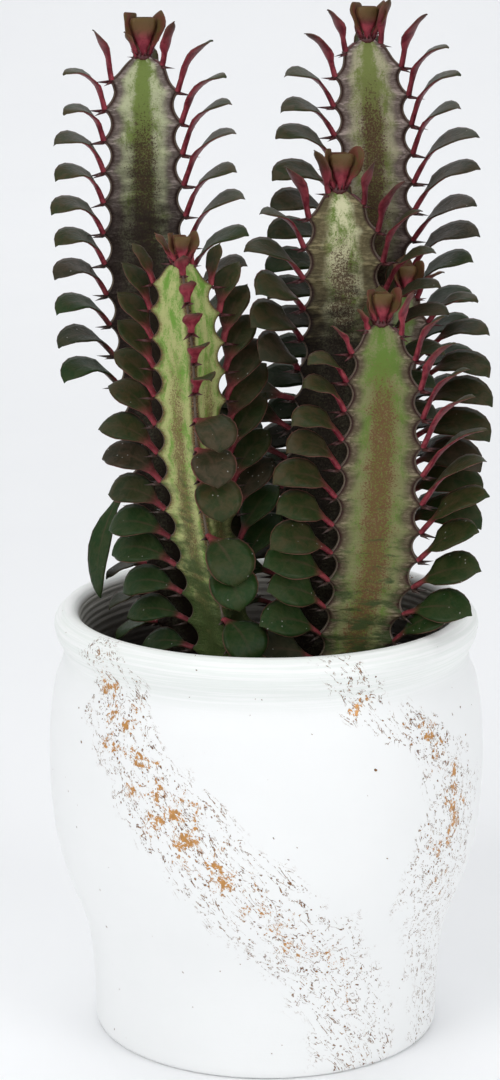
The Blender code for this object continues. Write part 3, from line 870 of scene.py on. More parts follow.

# %% [markdown]
# ## Horn and leaf
#
# The margin of a rib and its spines are horny: wine red when young, brown and then grey with age.
# A leaf is crimson at its stalk and on its underside, dark olive on top, and has a thin pale rim
# and midrib. Young leaves are redder. The leaf's own attributes place all of this: share runs from
# stalk to tip, cut holds the side and the upper or lower face, and age, shade and tone are one
# number for each leaf. Shade is painted shade: it darkens leaves at the back of the plant and low down.

# %% Horn of the margins and spines


def horn_finish():
    material, tree, shader, place = new_finish("horn")
    old = graded(tree, carried(tree, "below"), 6.0, 90.0)
    tone = carried(tree, "tone")
    grain = noise(tree, place, 1.2, 3.0)
    fresh = blend(tree, grain, (0.040, 0.007, 0.008), (0.110, 0.016, 0.020))
    mixed = times(tree, plus(tree, tone, grain), 0.5)
    worn = blend(tree, mixed, (0.022, 0.012, 0.010), (0.075, 0.048, 0.036))
    colour = blend(tree, old, fresh, worn)
    dull = blend(tree, grain, (0.055, 0.036, 0.022), (0.15, 0.115, 0.070))
    colour = blend(tree, carried(tree, "skin"), colour, dull)
    wire(tree, shader, Base_Color=colour)
    wire(tree, shader, Roughness=scaled(tree, grain, 0.2, 0.38))
    relief(tree, shader, times(tree, grain, 0.12))
    return material


# %% Leaf surface


def leaf_finish():
    material, tree, shader, place = new_finish("leaf_surface")
    share = carried(tree, "share")
    cut_across, cut_up, _ = split(tree, carried(tree, "cut", "Vector"))
    across = maths(tree, "ABSOLUTE", cut_across)
    top = graded(tree, cut_up, -0.25, 0.25)
    age = carried(tree, "age")
    shade = carried(tree, "shade")
    tone = carried(tree, "tone")
    mottle = noise(tree, place, 0.28, 4.0, 0.6, 0.5)
    fine = noise(tree, place, 1.8, 3.0, 0.6)

    # Upper face: old leaves dark green, younger ones olive and then red-brown.
    patch = graded(tree, mottle, 0.36, 0.64)
    green = blend(tree, patch, (0.013, 0.040, 0.007), (0.030, 0.050, 0.013))
    olive = blend(tree, patch, (0.024, 0.034, 0.009), (0.054, 0.042, 0.016))
    young = blend(tree, patch, (0.095, 0.060, 0.020), (0.120, 0.036, 0.022))
    upper = blend(tree, graded(tree, scaled(tree, tone, 0.2, age), 0.18, 0.62), green, olive)
    upper = blend(tree, graded(tree, age, 0.80, 0.98), upper, young)
    stalk = graded(tree, share, scaled(tree, age, 0.26, 0.26), 0.10)
    dusky = times(tree, graded(tree, tone, 0.55, 0.85), graded(tree, age, 0.75, 0.4, 0.0, 0.55))
    upper = blend(tree, dusky, upper, blend(tree, patch, (0.030, 0.018, 0.014), (0.060, 0.040, 0.030)))
    crimson = blend(tree, patch, (0.150, 0.014, 0.026), (0.300, 0.045, 0.062))
    upper = blend(tree, times(tree, stalk, 0.9), upper, crimson)
    rib = times(tree, graded(tree, across, 0.12, 0.02), graded(tree, share, 1.0, 0.2))
    upper = blend(tree, times(tree, rib, 0.45), upper, (0.105, 0.062, 0.040))
    slant = minus(tree, times(tree, share, 1.5), times(tree, across, 0.45))
    slant = stretched(tree, (1, 0, 0), slant)
    bands = {"Vector": slant, "Scale": 2.6, "Distortion": 1.2}
    veins = add(tree, "ShaderNodeTexWave", bands).outputs["Fac"]
    upper = blend(tree, times(tree, graded(tree, veins, 0.85, 1.0), 0.07), upper, (0.10, 0.08, 0.05))

    # Lower face: crimson on young leaves, fading to grey-green with age and towards the tip.
    pale = blend(tree, patch, (0.050, 0.036, 0.022), (0.095, 0.050, 0.036))
    red = times(tree, graded(tree, share, 1.15, 0.40), graded(tree, age, 0.0, 0.45))
    tip = times(tree, graded(tree, age, 0.92, 1.0), graded(tree, share, 0.35, 0.75))
    pale = blend(tree, tip, pale, (0.105, 0.070, 0.024))
    red = times(tree, red, scaled(tree, tip, -0.75, 1.0))
    lower = blend(tree, red, pale, crimson)
    colour = blend(tree, top, lower, upper)

    # A thin pale rim, dust and a few worn specks on older leaves.
    rim = times(tree, graded(tree, across, 0.93, 0.995), graded(tree, share, 0.25, 0.45))
    colour = blend(tree, times(tree, rim, 0.50), colour, (0.30, 0.13, 0.10))
    spot = maths(tree, "LESS_THAN", cells(tree, place, 0.62), 0.15)
    lot = add(tree, "ShaderNodeSeparateColor", {0: cells(tree, place, 0.62, "Color")}).outputs[0]
    rare = maths(tree, "LESS_THAN", lot, times(tree, graded(tree, age, 0.7, 0.2), times(tree, tone, 0.34)))
    dust = times(tree, times(tree, spot, rare), 0.6)
    colour = blend(tree, dust, colour, (0.42, 0.42, 0.38))
    bloom = times(tree, graded(tree, noise(tree, place, 0.6, 5.0, 0.75), 0.5, 0.75), 0.035)
    colour = blend(tree, bloom, colour, (0.17, 0.16, 0.13))
    # Painted shade: the leaf's shade number blends its colour towards near black, for leaves that sit in
    # shade at the back and low on the plant.
    painted_shade = minus(tree, 1.0, shade)
    colour = blend(tree, painted_shade, colour, (0.006, 0.006, 0.004))
    wire(tree, shader, Base_Color=colour, Roughness=scaled(tree, fine, 0.26, 0.32))
    shader.inputs["Specular IOR Level"].default_value = 0.16
    height = plus(tree, times(tree, fine, 0.05), times(tree, mottle, 0.35))
    height = plus(tree, height, times(tree, veins, 0.012))
    relief(tree, shader, height, 0.8)
    return material


horn = horn_finish()
leaf_look = leaf_finish()
print("horn and leaf finishes ready")

# %% [markdown]
# ## The pot
#
# The pot was thrown on a wheel, so it is a profile turned about its axis. A Screw modifier would
# do it, but a ring-by-ring lathe in code lets the profile be smoothed first, gives the inner wall
# its ridges, and marks which points lie inside, where the clay is bare. The profile below is a
# few measured radii, and a smooth curve is drawn through them.

# %% Turn the pot
POT_OUTSIDE = (
    (58.8, 0.0), (60.4, 1.6), (60.7, 16.0), (61.9, 30.0), (64.1, 40.6), (68.6, 52.6),
    (72.0, 63.7), (74.2, 76.0), (75.4, 95.0), (74.8, 111.0), (73.0, 124.0), (69.8, 134.5),
    (72.4, 141.5), (72.7, 146.2), (69.8, 149.6),
)
POT_INSIDE = (
    (66.2, 149.4), (64.3, 146.5), (63.4, 136.0), (66.2, 122.0), (68.2, 100.0),
    (66.4, 72.0), (58.6, 46.0), (54.6, 28.0), (52.0, 9.0),
)


def drawn_through(points, steps):
    """Smooth profile through points, by a curve that bends evenly at each."""
    points = np.array(points, float)
    ends = np.vstack([2 * points[0] - points[1], points, 2 * points[-1] - points[-2]])
    line = []
    for i in range(1, len(ends) - 2):
        before, here, there, after = ends[i - 1:i + 3]
        span = np.linalg.norm(there - here)
        leave = (there - before) / max(np.linalg.norm(there - before), 1e-6) * span
        reach = (after - here) / max(np.linalg.norm(after - here), 1e-6) * span
        for t in np.arange(steps) / steps:
            line.append(
                (1 + 2 * t) * (1 - t) ** 2 * here + t * (1 - t) ** 2 * leave
                + t * t * (3 - 2 * t) * there + t * t * (t - 1) * reach
            )
    line.append(points[-1])
    return line


def lathe(name, profile, segments, marks=None):
    """Closed turned mesh of a profile whose first and last points lie on the axis."""
    rings = []
    points = []
    for radius, height in profile:
        if radius < 1e-6:
            rings.append([len(points)])
            points.append((0.0, 0.0, height * MM))
            continue
        rings.append(list(range(len(points), len(points) + segments)))
        for i in range(segments):
            angle = 2 * math.pi * i / segments
            points.append((radius * MM * math.cos(angle), radius * MM * math.sin(angle), height * MM))
    faces = []
    for low, high in zip(rings, rings[1:]):
        for i in range(segments):
            j = (i + 1) % segments
            if len(low) == 1:
                faces.append((low[0], high[i], high[j]))
            elif len(high) == 1:
                faces.append((low[i], low[j], high[0]))
            else:
                faces.append((low[i], low[j], high[j], high[i]))
    mesh = bpy.data.meshes.new(name)
    mesh.from_pydata(points, [], faces)
    mesh.shade_smooth()
    for label, values in (marks or {}).items():
        column = [value for ring, value in zip(rings, values) for _ in ring]
        mesh.attributes.new(label, "FLOAT", "POINT").data.foreach_set("value", column)
    outward_faces(mesh)
    return mesh


def pot_profile():
    """Profile up the outside, over the lip and down the inside, with each point's inside mark."""
    outside = drawn_through(POT_OUTSIDE[1:], 7)
    over = drawn_through((POT_OUTSIDE[-2], POT_OUTSIDE[-1], *POT_INSIDE[:3]), 6)[6:18]
    inside = [point for point in drawn_through(POT_INSIDE, 22)]
    inside = [point for point in inside if point[1] < over[-1][1]]
    profile = [(0.0, 2.4), (40.0, 2.2), (54.0, 1.2), (56.2, 0.0), POT_OUTSIDE[0], (59.9, 0.5)]
    marks = [0.0] * len(profile)
    for radius, height in outside[:-1]:
        throw = 0.05 * math.sin(height * 2.1) * (1 if 128 < height < 147 else 0.35)
        profile.append((radius + throw, height))
        marks.append(0.0)
    for radius, height in over:
        profile.append((radius, height))
        marks.append(float(np.clip((148.6 - height) / 1.6, 0, 1)) if radius < 66 else 0.0)
    for radius, height in inside:
        ridge = 0.16 * math.sin(height * 2.3 + 1.5 * math.sin(height * 0.31))
        profile.append((radius + ridge, height))
        marks.append(1.0)
    profile.append((0.0, POT_INSIDE[-1][1]))
    marks.append(1.0)
    return profile, marks


profile, marks = pot_profile()
pot_mesh = lathe("pot", profile, 144, {"inside": marks})
pot_mesh.materials.append(glaze)
place_piece("turned_pot", [pot_mesh], ["pot"])
print("pot:", len(pot_mesh.polygons), "faces,", len(profile), "rings")

# %% [markdown]
# ## The soil
#
# Soil settles a little below the shoulder of the wall, sags towards the edge and is lumpy. Its bed
# is turned like the pot, then each point of its top moves by a noise. The loose grains on it would
# be endless to place by hand, so Geometry Nodes scatter a small rough pebble over the top faces
# with a fixed seed, each with its own size, turn and tone.

# %% Bed of soil


def soil_bed():
    profile = [(0.0, 9.4), (51.2, 9.4)]
    profile += [(radius - 0.4, height) for radius, height in reversed(POT_INSIDE[:-1]) if height < 114]
    profile += [(66.1, 116.0), (65.0, 116.8)]
    profile += [(radius, 118.0 - 1.0 * (radius / 65.0) ** 6) for radius in np.linspace(63.5, 1.6, 44)]
    profile += [(0.0, 118.0)]
    mesh = lathe("soil", profile, 132)
    for vertex in mesh.vertices:
        if vertex.co.z > 0.1155:
            place = vertex.co / MM
            lumps = noise_at(place * 0.16) * 1.1 + noise_at(place * 0.5) * 0.55
            vertex.co.z += lumps * MM
    return mesh


def noise_at(place):
    """Smooth repeatable noise between about -1 and 1."""
    x, y, z = place
    value = math.sin(1.7 * x + 2.1 * math.sin(0.9 * y)) * math.cos(1.3 * y + 1.9 * math.sin(1.1 * x + z))
    return value * 0.6 + 0.4 * math.sin(3.1 * x - 2.3 * y + 1.1 * z)


def random_between(tree, kind, low, high, seed):
    """Random number or vector between two bounds. Vectors use the node's first sockets."""
    first, output = (0, 0) if kind == "FLOAT_VECTOR" else (2, 1)
    bounds = {first: low, first + 1: high, "Seed": seed}
    return add(tree, "FunctionNodeRandomValue", bounds, data_type=kind).outputs[output]


def grain_tree():
    sizes = {"Grains per square metre": 240000.0, "Smallest": 0.4, "Largest": 1.5}
    tree, inputs = shape_tree("scattered_grains", sizes)
    scattered = add(
        tree, "GeometryNodeDistributePointsOnFaces",
        {"Mesh": inputs["Geometry"], "Density": inputs["Grains per square metre"], "Seed": 4},
    )
    pebble = add(tree, "GeometryNodeMeshIcoSphere", {"Radius": 0.001, "Subdivisions": 1})
    size = random_between(tree, "FLOAT", inputs["Smallest"], inputs["Largest"], 5)
    squash = random_between(tree, "FLOAT_VECTOR", (0.6, 0.7, 0.4), (1.2, 1.1, 0.8), 6)
    turn = random_between(tree, "FLOAT_VECTOR", (0, 0, 0), (6.3, 6.3, 6.3), 8)
    tone = random_between(tree, "FLOAT", 0.0, 1.0, 9)
    toned = add(
        tree, "GeometryNodeStoreNamedAttribute",
        {"Geometry": scattered.outputs["Points"], "Name": "tone", "Value": tone}, data_type="FLOAT",
    )
    placed = add(tree, "GeometryNodeInstanceOnPoints", {
        "Points": toned.outputs[0], "Instance": pebble.outputs[0], "Rotation": turn,
        "Scale": stretched(tree, squash, size),
    })
    finish_tree(tree, placed.outputs[0], inputs["Material"])
    return tree


bed = soil_bed()
bed.materials.append(soil_look)
top = bpy.data.meshes.new("soil_top")
bm = bmesh.new()
bm.from_mesh(bed)
buried = [face for face in bm.faces if face.normal.z < 0.3 or face.calc_center_median().z < 0.115]
bmesh.ops.delete(bm, geom=buried, context="FACES")
bm.to_mesh(top)
bm.free()
grains = grow(top, grain_tree(), {"Material": grain_look})
soil = place_piece("soil_bed", [bed, grains], ["soil"])
print("soil:", len(soil.data.polygons), "faces")

# %% [markdown]
# ## The ribbed shoots
#
# A shoot's cross-section is a three-pointed star: three thin wings that broaden into a core, with
# a smooth hollow between them. Blender has no primitive for it, and a star extruded along a curve
# would have straight ridges. So the surface is computed ring by ring: at every height each wing has
# its own reach, which follows the scallops between that rib's teeth. Each point also stores how
# near the crest it is, how far below the tip, and where it stands between two teeth.

# %% Scalloped wings


def tooth_marks(row):
    """Heights of a rib's tooth tips, continued below the last one to the soil."""
    tips = [height + 1.1 for height in teeth_of(row)]
    while tips[-1] > 106:
        tips.append(tips[-1] - SHOOTS[row[0]]["pitch"])
    return np.array(tips[::-1])


def scallop(row, height):
    """Reach of a rib's crest at a height, and where the height lies between two teeth."""
    tips = tooth_marks(row)
    reach = crest_radius(SHOOTS[row[0]], height)
    if height >= tips[-1]:
        return reach, 0.0
    i = int(np.searchsorted(tips, height))
    phase = (height - tips[i - 1]) / (tips[i] - tips[i - 1])
    top = SHOOTS[row[0]]["axis"][-1][2]
    depth = 1.02 * NOTCH_DEPTH * min(1.0, (top - height) / 14.0 + 0.2)
    spike = 0.6 * math.exp(-(min(phase, 1 - phase) / 0.07) ** 2)
    return reach - depth * math.sin(math.pi * phase) ** 0.85 + spike, phase


STEPS = 12


def wing(centre, out, side, reach, core, half_angle):
    """Points of one side of a wing from its crest to the hollow, with their nearness to the crest."""
    deep, broad = core * math.cos(half_angle), core * math.sin(half_angle)
    points = []
    for i in range(STEPS + 1):
        sunk = (i / STEPS) ** 1.35
        span = max(reach - deep, 0.4)
        edge = min(1.0, sunk * span / 1.1)
        half = 1.0 * math.sqrt(1 - (1 - edge) ** 2) * min(1.0, span / 4)
        half += (broad - half) * sunk ** 1.45
        points.append((centre + out * (reach - span * sunk) + side * half, 1 - sunk))
    return points


def stem_ring(name, height):
    """Ring of points round a shoot, each with its rib nearness and tooth phase."""
    shoot = SHOOTS[name]
    rows = rows_of(name)
    top = shoot["axis"][-1][2]
    level = min(height, top)
    axis = axis_at(shoot, level)
    centre = Vector((axis.x, axis.y, height))
    core = max(crest_radius(shoot, level) * VALLEY_SHARE, 1.3)
    ring = []
    for i, row in enumerate(rows):
        reach, phase = scallop(row, level)
        out = level_way(row[2])
        side = Vector((-out.y, out.x, 0))
        next_gap = (rows[(i + 1) % 3][2] - row[2]) % 360 / 2
        last_gap = (row[2] - rows[i - 1][2]) % 360 / 2
        back = wing(centre, out, -side, reach, core, math.radians(last_gap))
        front = wing(centre, out, side, reach, core, math.radians(next_gap))
        ring += [(point, near, phase) for point, near in reversed(back[1:])]
        ring += [(point, near, phase) for point, near in front[:-1]]
    return ring


def stem_mesh(name):
    top = SHOOTS[name]["axis"][-1][2]
    heights = list(np.arange(109.0, top - 12, 0.9)) + list(np.linspace(top - 12, top, 16))
    points = []
    marks = {"rib": [], "below": [], "phase": []}
    for height in heights:
        for point, near, phase in stem_ring(name, height):
            points.append(point * MM)
            marks["rib"].append(near)
            marks["below"].append(top - height)
            marks["phase"].append(phase)
    around = len(points) // len(heights)
    faces = []
    for level in range(len(heights) - 1):
        for i in range(around):
            j = (i + 1) % around
            low, high = level * around, (level + 1) * around
            faces.append((low + i, low + j, high + j, high + i))
    for height, start in ((heights[0] - 1, 0), (top + 1.2, (len(heights) - 1) * around)):
        axis = axis_at(SHOOTS[name], min(height, top))
        points.append(Vector((axis.x, axis.y, height)) * MM)
        for label, value in (("rib", 0.3), ("below", top - height), ("phase", 0.0)):
            marks[label].append(value)
        for i in range(around):
            faces.append((start + i, start + (i + 1) % around, len(points) - 1))
    mesh = bpy.data.meshes.new("stem_" + name)
    mesh.from_pydata([tuple(point) for point in points], [], faces)
    for label, column in marks.items():
        mesh.attributes.new(label, "FLOAT", "POINT").data.foreach_set("value", column)
    mesh.shade_smooth()
    outward_faces(mesh)
    return mesh


# %% Grow the six shoots
for name in SHOOTS:
    mesh = stem_mesh(name)
    mesh.materials.append(SKINS[name])
    place_piece("shoot_" + name, [mesh], ["stem_" + name])
    print("shoot", name, len(mesh.polygons), "faces")

# %% [markdown]
# ## Leaves, margins and spines
#
# Over two hundred leaves share one build: a flat oval section swept along a bent midrib. The same
# holds for the horny margin along a rib, with a round section. Curve to Mesh does the sweep, and
# the guide carries what differs from leaf to leaf: where the midrib runs, which way is across, and
# the width. The tree then puts every point in its place, so a roll or a fold is only a number.
# Spines are one cone, set on points and turned along a stored direction.

# %% Sweep and spine trees


def swept(tree, geometry, corners):
    """Sweep an oval along the guide. Returns the mesh and each point's place in the section."""
    line = add(tree, "GeometryNodeMeshToCurve", {"Mesh": geometry})
    round_cut = {"Resolution": corners, "Radius": 1.0}
    oval = add(tree, "GeometryNodeCurvePrimitiveCircle", round_cut, mode="RADIUS")
    spot = add(tree, "GeometryNodeInputPosition")
    marked = add(
        tree, "GeometryNodeStoreNamedAttribute",
        {"Geometry": oval.outputs[0], "Name": "cut", "Value": spot.outputs[0]}, data_type="FLOAT_VECTOR",
    )
    tube = add(
        tree, "GeometryNodeCurveToMesh",
        {"Curve": line.outputs[0], "Profile Curve": marked.outputs[0], "Fill Caps": True},
    )
    return tube.outputs[0], split(tree, named(tree, "cut", "FLOAT_VECTOR"))


def laid_out(tree, mesh, across, rise):
    """Put each point at its guide's middle plus a way across and a rise off the face."""
    place = named(tree, "middle", "FLOAT_VECTOR")
    for way, amount in (("across", across), ("face", rise)):
        step = stretched(tree, named(tree, way, "FLOAT_VECTOR"), amount)
        place = vector_maths(tree, "ADD", place, step)
    return add(tree, "GeometryNodeSetPosition", {"Geometry": mesh, "Position": place}).outputs[0]


def leaf_tree():
    sizes = {
        "Stalk width": 0.0024, "Stalk thickness": 0.0019, "Blade thickness": 0.0010,
        "Fold": 0.30, "Wave": 0.0003,
    }
    tree, inputs = shape_tree("swept_leaf", sizes)
    mesh, cut = swept(tree, inputs["Geometry"], 8)
    share = named(tree, "share")
    width = named(tree, "width")
    outline = curved(tree, share, (
        (0, 0.0), (0.10, 0.07), (0.20, 0.27), (0.34, 0.62), (0.47, 0.88), (0.60, 1.0), (0.73, 0.95),
        (0.84, 0.76), (0.92, 0.50), (0.97, 0.24), (1, 0.03),
    ))
    squared = curved(tree, share, (
        (0, 0.1), (0.15, 0.26), (0.35, 0.52), (0.6, 0.78), (0.8, 0.98), (0.9, 1.0), (0.96, 0.95), (1, 0.72),
    ))
    square = named(tree, "square")
    outline = plus(tree, outline, times(tree, square, minus(tree, squared, outline)))
    stalk = times(tree, inputs["Stalk width"], graded(tree, share, 1.0, 0.75, 0.03, 0.5))
    half = maths(tree, "MAXIMUM", stalk, times(tree, outline, times(tree, width, 0.5)))
    blade = graded(tree, share, 0.14, 0.38)
    ends = {"Factor": blade, 2: inputs["Stalk thickness"], 3: inputs["Blade thickness"]}
    thick = add(tree, "ShaderNodeMix", ends, data_type="FLOAT").outputs[0]
    thick = times(tree, thick, graded(tree, share, 1.0, 0.9, 0.15, 0.5))
    side = maths(tree, "ABSOLUTE", cut[0])
    fold = times(tree, inputs["Fold"], maths(tree, "POWER", side, 1.5))
    fold = times(tree, fold, times(tree, half, blade))
    fold = times(tree, fold, scaled(tree, share, -0.7, 1.0))
    swing = plus(tree, times(tree, share, 13.0), times(tree, named(tree, "tone"), 20.0))
    swing = maths(tree, "SINE", swing)
    wave = times(tree, times(tree, inputs["Wave"], swing), times(tree, cut[0], blade))
    rise = plus(tree, times(tree, cut[1], thick), plus(tree, fold, wave))
    finish_tree(tree, laid_out(tree, mesh, times(tree, cut[0], half), rise), inputs["Material"])
    return tree


def margin_tree():
    tree, inputs = shape_tree("swept_margin", {"Radius": 0.0006})
    mesh, cut = swept(tree, inputs["Geometry"], 6)
    radius = times(tree, inputs["Radius"], named(tree, "width"))
    placed = laid_out(tree, mesh, times(tree, cut[0], radius), times(tree, cut[1], radius))
    finish_tree(tree, placed, inputs["Material"])
    return tree


def spine_tree():
    tree, inputs = shape_tree("set_spines", {"Thickness": 0.135})
    cone = add(
        tree, "GeometryNodeMeshCone",
        {"Vertices": 5, "Radius Top": 0.0, "Radius Bottom": inputs["Thickness"], "Depth": 1.0},
    )
    aim = {"Vector": named(tree, "aim", "FLOAT_VECTOR")}
    aimed = add(tree, "FunctionNodeAlignRotationToVector", aim, axis="Z")
    placed = add(tree, "GeometryNodeInstanceOnPoints", {
        "Points": inputs["Geometry"], "Instance": cone.outputs[0], "Rotation": aimed.outputs[0],
        "Scale": named(tree, "size"),
    })
    finish_tree(tree, placed.outputs[0], inputs["Material"])
    return tree


sweep_leaf, sweep_margin, set_spines = leaf_tree(), margin_tree(), spine_tree()
print("three trees for leaves, margins and spines")

# %% Guides
STATIONS = (0.0, 0.10, 0.19, 0.29, 0.40, 0.51, 0.62, 0.72, 0.81, 0.885, 0.94, 0.978, 1.0)
# How much light each shoot's leaves keep under the painted shade; the rear and middle shoots are darker.
PAINTED_LIGHT_LEVELS = {"a": 0.92, "b": 1.0, "c": 0.80, "d": 0.72, "e": 1.0, "f": 0.85}


LEAF_VALUES = ("middle", "across", "face", "share", "width", "age", "shade", "tone", "square")
MARGIN_VALUES = ("middle", "across", "face", "width", "below", "tone", "skin")
SPINE_VALUES = ("aim", "size", "below", "tone")


def note_down(values, row):
    for column, value in zip(values.values(), row):
        column.append(value)


def leaf_guide(leaves):
    """Midribs of leaves. Each item is the leaf and its age, shade, tone and how square its tip is."""
    points, edges = [], []
    values = {label: [] for label in LEAF_VALUES}
    for leaf, age, shade, tone, square in leaves:
        for i, share in enumerate(STATIONS):
            middle, along, across, face = leaf_path(leaf, share)
            if share == 1.0 and not square:
                middle = middle + (along - face * 0.6).normalized() * 0.5
            if i:
                edges.append((len(points) - 1, len(points)))
            points.append(middle * MM)
            width = leaf[4] * MM
            note_down(values, (middle * MM, across, face, share, width, age, shade, tone, square))
    return guide_mesh("midribs", points, edges, values)


def margin_guide(row):
    """Line along a rib's crest, over its teeth."""
    shoot = SHOOTS[row[0]]
    top = shoot["axis"][-1][2]
    out = level_way(row[2])
    side = Vector((-out.y, out.x, 0))
    points, edges = [], []
    values = {label: [] for label in MARGIN_VALUES}
    for height in np.arange(115.0, top - 0.4, 0.75):
        reach, phase = scallop(row, height)
        middle = axis_at(shoot, height) + out * (reach - 0.25)
        tip = math.exp(-(min(phase, 1 - phase) / 0.12) ** 2)
        if points:
            edges.append((len(points) - 1, len(points)))
        points.append(middle * MM)
        swell, dull = 0.75 + 0.7 * tip, 0.85 * (1 - tip)
        note_down(values, (middle * MM, side, out, swell, top - height, 0.4, dull))
    return guide_mesh("crest", points, edges, values)


def spine_guide(spines):
    """Points for spines. Each item is the foot, the aim, the length, the depth below the tip and a tone."""
    values = {label: [] for label in SPINE_VALUES}
    points = []
    for foot, aim, size, below, tone in spines:
        points.append(foot * MM)
        note_down(values, (aim, size * MM, below, tone))
    return guide_mesh("spines", points, [], values)


def row_spines(row, pick):
    """Two spines at each tooth, spread to the sides."""
    shoot = SHOOTS[row[0]]
    top = shoot["axis"][-1][2]
    out = level_way(row[2])
    side = Vector((-out.y, out.x, 0))
    spines = []
    for height in teeth_of(row):
        foot = axis_at(shoot, height + 0.4) + out * (scallop(row, height + 1.1)[0] - 0.5)
        for way in (-1, 1):
            aim = out + side * way * pick.uniform(0.25, 0.6) + Vector((0, 0, pick.uniform(-0.3, 0.15)))
            length = pick.uniform(4.2, 6.0) * (0.8 if top - height < 8 else 1.0)
            spines.append((foot + side * way * 0.5, aim.normalized(), length, top - height, pick.random()))
    return spines


# %% Dress every rib
pick = random.Random(21)
for row in ROWS:
    top = SHOOTS[row[0]]["axis"][-1][2]
    heights = teeth_of(row)
    dressed = []
    for place, leaf in LEAVES[row].items():
        age = float(np.interp(top - heights[place], (0, 12, 60, 110), (1.0, 0.78, 0.5, 0.05)))
        # Painted shade: leaves of rear and middle shoots and leaves low on a shoot get a darker colour.
        shade = PAINTED_LIGHT_LEVELS[row[0]] * float(np.interp(heights[place], (120, 260), (0.82, 1.0)))
        dressed.append((leaf, age, shade, pick.random(), 0.0))
    blades = grow(leaf_guide(dressed), sweep_leaf, {"Material": leaf_look})
    crest = grow(margin_guide(row), sweep_margin, {"Material": horn})
    spines = grow(spine_guide(row_spines(row, pick)), set_spines, {"Material": horn})
    for mesh in (blades, crest, spines):
        outward_faces(mesh)
    name = row[0] + "_" + row[1]
    piece = place_piece("rib_" + name, [blades, crest, spines], ["leaves_" + name])
    print(piece.name, len(dressed), "leaves,", len(piece.data.polygons), "faces")

# %% [markdown]
# ## Crowns
#
# The growing point is a small cushion of unborn teeth, hedged by wine-red spines, with the
# youngest leaves standing upright round it. The cushion starts as a ball that is flattened and
# roughened, and the leaves and spines come from the same trees as below, so a crown matches its
# shoot.

# %% Growing points


def cushion(name):
    top = Vector(SHOOTS[name]["axis"][-1])
    bm = bmesh.new()
    bmesh.ops.create_icosphere(bm, subdivisions=3, radius=1.0)
    for vertex in bm.verts:
        bump = 1 + 0.13 * noise_at(vertex.co * 4.3)
        spot = Vector((vertex.co.x * 3.0, vertex.co.y * 3.0, vertex.co.z * 1.9)) * bump
        vertex.co = (top + spot + Vector((0, 0, 0.3))) * MM
    mesh = bpy.data.meshes.new("cushion_" + name)
    bm.to_mesh(mesh)
    bm.free()
    mesh.shade_smooth()
    for label, value in (("below", 12.0), ("tone", 0.6)):
        layer = mesh.attributes.new(label, "FLOAT", "POINT")
        layer.data.foreach_set("value", [value] * len(mesh.vertices))
    return mesh


def crown_spines(name):
    top = Vector(SHOOTS[name]["axis"][-1])
    spines = []
    for i in range(14):
        angle = 2 * math.pi * (i + pick.uniform(-0.3, 0.3)) / 14
        way = Vector((math.cos(angle), math.sin(angle), 0))
        aim = (way + Vector((0, 0, pick.uniform(0.5, 1.8)))).normalized()
        foot = top + way * 2.6 + Vector((0, 0, 0.6))
        spines.append((foot, aim, pick.uniform(2.2, 3.6), 0.0, pick.random()))
    return spines


for name in SHOOTS:
    bud = cushion(name)
    bud.materials.append(horn)
    young = [(leaf, 1.0, 1.0, pick.random(), square) for leaf, square in crown_leaves(name)]
    meshes = [bud, grow(spine_guide(crown_spines(name)), set_spines, {"Material": horn})]
    if young:
        meshes.append(grow(leaf_guide(young), sweep_leaf, {"Material": leaf_look}))
    for mesh in meshes:
        outward_faces(mesh)
    piece = place_piece("crown_of_" + name, meshes, ["crown_" + name])
    print(piece.name, len(young), "young leaves,", len(piece.data.polygons), "faces")

# %% [markdown]
# ## Stage, light and camera
#
# A pale sheet runs under the pot and up far behind it in one bend, as in a product studio. Broad
# lamps keep the shadows soft: a stronger one from the front left, a weaker one from the right, one
# above the plant, and a large one over the far part of the sheet. The camera stands a little under
# a metre away, looks down by about fourteen degrees and has a long lens, which keeps the pot's
# sides nearly upright.

# %% Stage
BEND_START = 2.6
BEND = 0.6


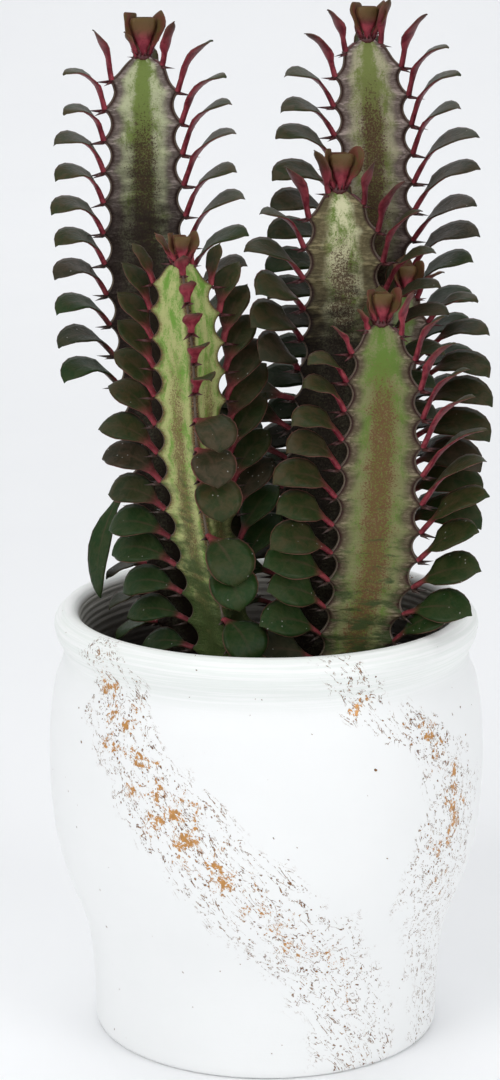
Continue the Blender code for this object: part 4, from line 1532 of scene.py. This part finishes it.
def backdrop():
    """Sheet that lies flat under the pot and curves up behind it."""
    line = [(-3.0, 0.0)]
    for angle in np.linspace(0, math.pi / 2, 24):
        line.append((BEND_START + BEND * math.sin(angle), BEND - BEND * math.cos(angle)))
    line.append((BEND_START + BEND, 2.6))
    points = [(x, y, z) for y, z in line for x in (-3.2, 3.2)]
    faces = [(2 * i, 2 * i + 1, 2 * i + 3, 2 * i + 2) for i in range(len(line) - 1)]
    mesh = bpy.data.meshes.new("backdrop")
    mesh.from_pydata(points, [], faces)
    mesh.shade_smooth()
    return mesh


paper, tree, shader, place = new_finish("pale_paper")
grey = blend(tree, noise(tree, place, 0.01, 3.0), (0.90, 0.905, 0.915), (0.92, 0.925, 0.93))
wire(tree, shader, Base_Color=grey)
shader.inputs["Roughness"].default_value = 0.9
sheet = backdrop()
sheet.materials.append(paper)
floor = bpy.data.objects.new("backdrop", sheet)
bpy.context.scene.collection.objects.link(floor)

# %% Lamps and world


def lamp(name, place, aim, size, power, colour=(1, 1, 1)):
    data = bpy.data.lights.new(name, "AREA")
    data.shape = "RECTANGLE"
    data.size, data.size_y = size
    data.energy = power
    data.color = colour
    made = bpy.data.objects.new(name, data)
    made.location = place
    made.visible_camera = False
    made.rotation_euler = (Vector(aim) - Vector(place)).to_track_quat("-Z", "Y").to_euler()
    bpy.context.scene.collection.objects.link(made)


lamp("key", (-0.85, -1.0, 0.95), (0, 0, 0.17), (0.7, 0.9), 7.8)
lamp("fill", (1.0, -0.9, 0.55), (0, 0, 0.15), (0.6, 0.9), 4.8)
lamp("back", (0.0, 2.05, 1.9), (0, 2.05, 0), (2.6, 2.2), 20.0)
lamp("top", (0.0, -0.1, 1.35), (0, 0, 0.2), (0.9, 0.7), 3.2)
world = bpy.data.worlds.new("studio")
world.use_nodes = True
world.node_tree.nodes["Background"].inputs["Color"].default_value = (0.95, 0.97, 1.0, 1.0)
world.node_tree.nodes["Background"].inputs["Strength"].default_value = 0.52
bpy.context.scene.world = world
bpy.context.scene.view_settings.view_transform = "Standard"

# %% Camera
lens = bpy.data.cameras.new("camera")
lens.lens = 93.33
lens.sensor_width = 36.0
camera = bpy.data.objects.new("camera", lens)
camera.location = (-0.005634, -0.93276, 0.3992)
camera.rotation_euler = (math.radians(90 - 13.665), 0, 0)
bpy.context.scene.collection.objects.link(camera)
bpy.context.scene.camera = camera
